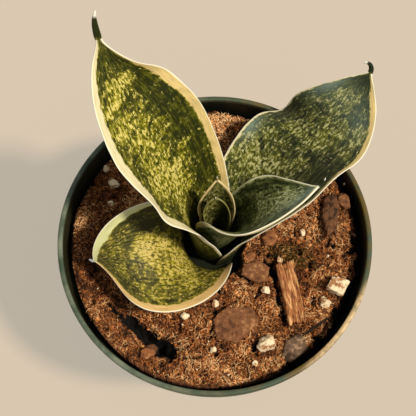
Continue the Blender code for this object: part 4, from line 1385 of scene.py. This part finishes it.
def make_leaf(leaf, ring, finish, seed):
    """Rings for the blade and awn, closed by quads across both ends, with the markings stored."""
    rings, t, across, width, tip = blade(leaf, ring, seed)
    points = np.concatenate([rings, awn(leaf, *tip)])
    rows = len(points)
    half = LEAF_LOOP // 2
    side = np.arange(1, half - 1)
    lid = np.stack([side, side + 1, LEAF_LOOP - side - 1, LEAF_LOOP - side], -1)
    ears = np.array([(0, 1, LEAF_LOOP - 1), (half, half + 1, half - 1)])
    last = (rows - 1) * LEAF_LOOP
    blocks = [ring_quads(rows, LEAF_LOOP), lid[:, ::-1], last + lid, ears[:, ::-1], last + ears]
    piece = make_piece(leaf["name"], points, blocks, finish, "leaf")
    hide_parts(leaf["node"])
    along = np.concatenate([t, np.ones(AWN_ROWS)])[:, None] + 0 * across
    span = np.concatenate([width, np.full(AWN_ROWS, leaf["awn_radius"])])[:, None]
    point = np.concatenate([0 * t, np.arange(1, AWN_ROWS + 1) / AWN_ROWS])[:, None] + 0 * across
    left_band = np.interp(along, *leaf["left_band"]) * MM
    right_band = np.interp(along, *leaf["right_band"]) * MM
    paint(piece, "left_gap", (span * (1 + across) - left_band) / MM + 9 * (point > 0))
    paint(piece, "right_gap", (span * (1 - across) - right_band) / MM + 9 * (point > 0))
    paint(piece, "edge", span * (1 - np.abs(across)) / MM + 9 * (point > 0))
    paint(piece, "awn", point)
    for kind in ("pale", "sheen"):
        paint(piece, kind, 0 * along + sum(bell(along, across, *spot) for spot in leaf.get(kind, [])))
    length = leaf["length"] * along + leaf["awn_length"] * point
    lay_map(piece, leaf["half_width"] * across + 0 * along, length)


print("a whole leaf has", LEAF_ROWS + AWN_ROWS, "rings")

# %% [markdown]
# The finish starts with two greens in clouds and stripes. Over them go the bright green, the flecks
# and their pores, a painted bluish sheen of the sky, the cream margins with a ragged inner edge, the
# white edge and the awn, and last the painted shade of the crown.

# %% The leaf's finish
CREAM = (0.70, 0.52, 0.21)
WHITE = (0.78, 0.68, 0.40)
TAN = (0.68, 0.44, 0.17)
LIME = (0.62, 0.62, 0.30)
WHITE_EDGE = (0.80, 0.74, 0.56)
DRY_TIP = (0.80, 0.76, 0.66)
SKY_SHEEN = (0.20, 0.27, 0.22)
CROWN_SHADE = (0.010, 0.014, 0.004)


def leaf_finish(name, deep, green, bright, fleck, left_cream, right_cream, rim=WHITE_EDGE, point=None,
                coarse=1.0):
    """Green in two depths, brighter and flecked in light patches, darker in painted shadow, with cream
    margins.
    """
    finish = Finish(name)
    own = finish.surface()
    fine = finish.stretch(own, (1 / coarse, 1 / coarse, 1))
    # The green: clouds, and fine stripes that run along the blade.
    cloud = finish.noise(finish.stretch(own, (0.26, 0.17, 1)), 1.0, 5, 0.68)
    stripe = finish.noise(finish.stretch(own, (0.75, 0.06, 1)), 1.0, 3, 0.6, 0.15)
    value = finish.blend(cloud, 0.55, stripe, 0.45)
    # How pale it is here: the patches set on the mesh, and uneven bands that cross the blade.
    crossing = finish.noise(finish.stretch(fine, (0.08, 0.14, 1)), 1.0, 4, 0.65, 0.9)
    # Negative patches darken the blade: some are darker green, some are painted shadow of other leaves and of
    # the crown.
    pale = finish.maths("ADD", finish.painted("pale"), finish.band(crossing, 0.32, 0.68, -0.5, 0.5))
    value = finish.maths("ADD", value, finish.maths("MULTIPLY", pale, 0.05))
    colour = finish.mix(finish.band(value, 0.43, 0.58), deep, green)
    lit = finish.maths("MULTIPLY", finish.band(pale, 0.0, 0.9), finish.band(stripe, 0.38, 0.60, 0.30, 1.0))
    colour = finish.mix(lit, colour, bright)
    # Flecks: soft blots about two millimetres across, and grit less than half that size.
    blot = finish.noise(finish.stretch(fine, (0.56, 0.40, 1)), 1.0, 4, 0.70, 0.35)
    grit = finish.noise(finish.stretch(fine, (1.35, 0.95, 1)), 1.0, 3, 0.65, 0.3)
    level = finish.blend(blot, 0.8, grit, 0.2)
    level = finish.maths("ADD", level, finish.maths("MULTIPLY", pale, 0.070))
    strength = finish.band(pale, -0.5, 0.6, 0.50, 1.0)
    colour = finish.mix(finish.maths("MULTIPLY", finish.band(level, 0.560, 0.620), strength), colour, fleck)
    # Dark pores between the flecks.
    colour = finish.mix(finish.band(blot, 0.48, 0.40, 0.0, 0.80), colour, deep)
    # A painted bluish sheen, the sky's reflection, where the blade faces the sky.
    colour = finish.mix(finish.maths("MULTIPLY", finish.painted("sheen"), 0.7), colour, SKY_SHEEN)
    # Cream margins, with an uneven inner edge and a pale green fringe inside it.
    jag = finish.maths("SUBTRACT", finish.noise(finish.stretch(own, (0.30, 0.24, 1)), 1.0, 5, 0.72), 0.5)
    jag = finish.maths("MULTIPLY", jag, 4.5)
    darkening = finish.band(finish.noise(finish.stretch(own, (1.2, 0.16, 1)), 1.0, 4, 0.6), 0.35, 0.75)
    for side, cream in (("left_gap", left_cream), ("right_gap", right_cream)):
        gap = finish.maths("ADD", finish.painted(side), jag)
        colour = finish.mix(finish.band(gap, 0.9, 0.0, 0.0, 0.5), colour, bright)
        shade = finish.mix(darkening, cream, tuple(0.66 * part for part in cream))
        colour = finish.mix(finish.band(gap, 0.2, -0.25), colour, shade)
    # The very edge is almost white. The awn is a dark rolled strip with a dry white tip.
    colour = finish.mix(finish.band(finish.painted("edge"), 0.55, 0.20), colour, rim)
    awn_share = finish.painted("awn")
    colour = finish.mix(finish.band(awn_share, 0.02, 0.15), colour, point or deep)
    colour = finish.mix(finish.band(awn_share, 0.72, 0.86), colour, DRY_TIP)
    # Painted shade: the sheaths are dark down in the crown, cream and all.
    crown = (CROWN[0] / MM, CROWN[1] / MM, 0)
    near = finish.add("ShaderNodeVectorMath", {0: finish.stretch(finish.place(), (1, 1, 0)), 1: crown},
                      output="Value", operation="DISTANCE")
    height = finish.add("ShaderNodeSeparateXYZ", {0: finish.place()}, output="Z")
    base = finish.maths("MULTIPLY", finish.band(near, 19.0, 13.5), finish.band(height, 113.0, 101.0))
    colour = finish.mix(finish.maths("MULTIPLY", base, 0.93), colour, CROWN_SHADE)
    veins = finish.noise(finish.stretch(own, (1.6, 0.08, 1)), 1.0, 3)
    height = finish.maths("ADD", veins, finish.maths("MULTIPLY", grit, 0.5))
    roughness = finish.band(grit, 0.3, 0.7, 0.42, 0.60)
    return finish.done(colour, roughness, finish.bump(height, 0.12 * MM), Specular_IOR_Level=0.14)


print("margin colours:", CREAM, WHITE, TAN, LIME)

# %% [markdown]
# The six leaves, from the outermost sheath in. Lengths are in millimetres and angles in degrees. Lean
# and facing are given at the base, the middle and the tip, and so is the wrap of the section. A wave
# is a share along the leaf, a height and a spread. A band is a list of shares along the leaf and the
# band's width at each. Pale-and-shadow and sheen are lists of bells: a share along the leaf, a place
# across it from -1 on the left margin to 1 on the right, the reach along and across, and the strength.
# A bell with a negative strength darkens the blade: some are darker green, some are painted shadow of
# another leaf or the crown. A sheen bell paints a bluish reflection of the sky.

# %% The six leaves
IN_MILLIMETRES = ("length", "half_width", "awn_length", "awn_radius", "ripple")
LEAVES = [
    dict(name="low_leaf", node="leaf_low", length=65.5, half_width=30, widest=0.49, tip_shape=0.90,
         base_shape=2.0, lean=(11, 53, 130), facing=(219, 185.5, 193), sheath_facing=228,
         twist=(-15, -43), wrap=(162, 80, 51), left_wave=(0.67, 1.9, 0.12),
         right_wave=(0.60, 2.3, 0.11), awn_length=3.5, awn_radius=0.8,
         awn_goal=(115, 150), ripple=0.7,
         left_band=((0, 0.1, 0.35, 0.6, 0.8, 1), (2.5, 4.2, 3.8, 3.4, 2.6, 1.5)),
         right_band=((0, 0.35, 0.6, 0.72, 0.85, 1), (1.2, 1.8, 2.2, 4.2, 6.0, 3.0)),
         pale=[(0.61, 0.10, 0.07, 0.24, 1.5), (0.47, 0.18, 0.05, 0.22, 1.3), (0.54, -0.1, 0.05, 0.3, 0.4),
               (0.28, 0.05, 0.14, 0.34, 0.9), (0.70, -0.1, 0.04, 0.3, 0.5), (0.83, 0.3, 0.05, 0.35, 0.45),
               # The bells of strength -1.0 and -0.8 are painted shadow of the tall leaf on this leaf's right
               # half.
               (0.30, -0.50, 0.25, 0.40, 0.20), (0.62, -0.5, 0.03, 0.3, 0.4), (0.55, 0.85, 0.18, 0.30, -1.0),
               (0.30, 0.75, 0.2, 0.22, -0.8), (0.32, -0.3, 0.22, 0.6, 0.42)],
         tones=dict(deep=(0.030, 0.030, 0.006), green=(0.110, 0.098, 0.016), bright=(0.34, 0.28, 0.014),
                    fleck=(0.50, 0.385, 0.105), coarse=0.75, left_cream=TAN, right_cream=LIME,
                    point=(0.55, 0.58, 0.60))),
    dict(name="broad_leaf", node="leaf_broad", length=110.5, half_width=34.5, widest=0.51, tip_shape=0.90,
         base_shape=1.85, lean=(4, 66, 67.5), facing=(44, 42, 55), sheath_facing=14,
         twist=(-25.5, -9), wrap=(196, 53, 22), left_wave=(0.65, -10.8, 0.07),
         right_wave=(0.58, 3.9, 0.08), awn_length=7.5, awn_radius=1.25,
         awn_goal=(52, 118), awn_hook=(94, 186), ripple=0.6,
         left_band=((0, 0.4, 0.7, 1), (1.4, 1.2, 1.0, 0.7)),
         right_band=((0, 0.3, 0.6, 0.7, 0.8, 0.9, 0.96, 1), (0.8, 1.4, 2.3, 2.6, 3.0, 3.8, 1.6, 0.5)),
         pale=[(0.36, -0.6, 0.10, 0.45, 0.9), (0.43, -0.25, 0.03, 0.15, 0.9), (0.66, 0.1, 0.11, 0.5, 0.55),
               (0.85, 0.0, 0.06, 0.6, 0.55), (0.50, -0.45, 0.05, 0.4, 0.35), (0.62, -0.6, 0.03, 0.3, 0.4),
               (0.74, 0.75, 0.07, 0.2, 0.6), (0.97, 0, 0.03, 1.2, -1.8), (0.72, -0.85, 0.10, 0.15, -0.6),
               (0.57, 0.62, 0.05, 0.3, -0.9), (0.90, 0.55, 0.05, 0.2, -0.5)],
         sheen=[(0.47, -0.98, 0.07, 0.16, 1.0), (0.87, -0.9, 0.07, 0.25, 0.8), (0.80, 0.60, 0.09, 0.4, 0.35),
                (0.86, -0.2, 0.08, 0.6, 0.30)],
         tones=dict(deep=(0.013, 0.018, 0.006), green=(0.080, 0.088, 0.020), bright=(0.185, 0.180, 0.014),
                    fleck=(0.49, 0.46, 0.20), left_cream=WHITE, right_cream=CREAM)),
    dict(name="tall_leaf", node="leaf_tall", length=135.5, half_width=31, widest=0.51, tip_shape=0.99,
         base_shape=1.5, lean=(0, 30.5, 30.5), facing=(92, 137, 108), sheath_facing=172,
         twist=(15.5, -5), wrap=(262, 94, 98), left_wave=(0.45, -3.3, 0.06),
         right_wave=(0.76, -5.3, 0.09), awn_length=12, awn_radius=1.55,
         awn_goal=(40, 112), awn_hook=(38, 62), ripple=0.5,
         left_band=((0, 0.2, 0.3, 0.37, 0.47, 0.6, 0.75, 0.85, 0.95, 1),
                    (0.8, 1.4, 3.0, 4.8, 4.6, 6.4, 5.6, 4.0, 2.2, 0.6)),
         right_band=((0, 0.2, 0.3, 0.72, 0.78, 0.84, 0.9, 1), (1.2, 3.0, 4.0, 4.2, 3.4, 2.2, 0.7, 0.4)),
         pale=[(0.60, -0.15, 0.24, 0.34, 0.7), (0.84, 0.1, 0.022, 0.5, 1.1), (0.79, -0.45, 0.02, 0.3, 0.9),
               (0.73, -0.6, 0.04, 0.22, 0.55), (0.45, -0.25, 0.04, 0.35, 0.85), (0.5, -0.55, 0.03, 0.25, 0.5),
               (0.42, 0.20, 0.03, 0.22, 0.7), (0.47, 0.45, 0.015, 0.18, 1.0), (0.39, 0.65, 0.012, 0.18, 1.1),
               (0.33, -0.05, 0.07, 0.40, 0.7), (0.25, 0.1, 0.04, 0.3, 0.4), (0.66, 0.30, 0.02, 0.20, 0.4),
               # The bells of strength -0.6 and -0.7 are painted shade: the crown's at the base, and along the
               # right side.
               (0.14, 0.0, 0.04, 1.2, -0.6), (0.26, -0.35, 0.05, 0.3, 0.6), (0.55, 0.68, 0.28, 0.20, -0.7),
               (0.93, -0.3, 0.05, 0.8, -0.3)],
         tones=dict(deep=(0.018, 0.022, 0.003), green=(0.088, 0.088, 0.007), bright=(0.28, 0.25, 0.008),
                    fleck=(0.62, 0.52, 0.145), left_cream=WHITE, right_cream=CREAM)),
    dict(name="young_leaf", node="leaf_young", length=93, half_width=23.5, widest=0.55, tip_shape=1.12,
         base_shape=1.4, lean=(2, 27.5, 52), facing=(-37, 3, 17), sheath_facing=-50,
         twist=(-41, -11.5), wrap=(306, 197, 66), left_wave=(0.60, 2.2, 0.12),
         right_wave=(0.67, -7, 0.13), awn_length=6, awn_radius=0.55,
         awn_goal=(20, 60), ripple=0.4,
         left_band=((0, 0.4, 0.7, 1), (1.2, 1.1, 1.0, 0.5)),
         right_band=((0, 0.4, 0.7, 1), (2.0, 2.3, 2.2, 0.8)),
         pale=[(0.80, 0.0, 0.08, 0.4, 1.0), (0.65, -0.2, 0.12, 0.3, 0.6), (0.88, 0.1, 0.03, 0.5, 0.8),
               (0.70, -0.85, 0.2, 0.2, -0.8), (0.97, 0, 0.03, 1.0, -1.2), (0.3, -0.2, 0.15, 0.5, -1.0)],
         sheen=[(0.92, 0.4, 0.08, 0.6, 0.85), (0.78, 0.3, 0.1, 0.3, 0.55), (0.96, 0.0, 0.02, 1.0, 0.4)],
         tones=dict(deep=(0.022, 0.032, 0.009), green=(0.170, 0.195, 0.060), bright=(0.36, 0.38, 0.13),
                    fleck=(0.70, 0.73, 0.42), coarse=0.8, left_cream=LIME, right_cream=WHITE)),
    dict(name="cup_leaf", node="leaf_cup", length=58, half_width=10.7, widest=0.61, tip_shape=0.78,
         base_shape=1.5, lean=(2, 5.5, 11.5), facing=(88.5, 86.5, 93), sheath_facing=67,
         twist=(3.5, 5), wrap=(250, 161, 73), left_wave=(0.73, -1.2, 0.12),
         right_wave=(0.60, 0.2, 0.12), awn_length=2.5, awn_radius=0.5,
         awn_goal=(14, 92), ripple=0.2,
         left_band=((0, 0.5, 0.9, 1), (1.2, 1.4, 1.0, 0.4)),
         right_band=((0, 0.5, 0.9, 1), (1.6, 2.0, 1.4, 0.4)),
         pale=[(0.7, 0.0, 0.3, 0.6, 0.7)],
         tones=dict(deep=(0.022, 0.024, 0.006), green=(0.105, 0.104, 0.024), bright=(0.21, 0.20, 0.035),
                    fleck=(0.40, 0.36, 0.14), left_cream=CREAM, right_cream=CREAM, rim=(0.66, 0.52, 0.26),
                    point=(0.30, 0.25, 0.12))),
    dict(name="heart_leaf", node="leaf_heart", length=55, half_width=9, widest=0.64, tip_shape=0.42,
         base_shape=1.5, lean=(1.5, 0, 3), facing=(98, 93, 92.5), sheath_facing=50,
         twist=(0, 3), wrap=(240, 186, 73), left_wave=(0.70, 1.6, 0.12),
         right_wave=(0.60, 0.0, 0.12), awn_length=1.5, awn_radius=0.5,
         awn_goal=(2, 92), ripple=0.15,
         left_band=((0, 1), (0.0, 0.0)), right_band=((0, 1), (0.0, 0.0)),
         pale=[(0.8, -0.4, 0.3, 0.5, 0.5), (0.7, 0.7, 0.4, 0.4, -1.2)],
         tones=dict(deep=(0.020, 0.022, 0.005), green=(0.080, 0.080, 0.016), bright=(0.20, 0.18, 0.03),
                    fleck=(0.42, 0.38, 0.13), left_cream=LIME, right_cream=LIME, rim=(0.20, 0.18, 0.06),
                    point=(0.25, 0.22, 0.10))),
]
for index, leaf in enumerate(LEAVES):
    leaf.update({key: leaf[key] * MM for key in IN_MILLIMETRES})
    skin = leaf_finish(leaf["name"] + "_skin", **leaf["tones"])
    make_leaf(leaf, len(LEAVES) - 1 - index, skin, 51 + 9 * index)

# %% [markdown]
# ## Closing
#
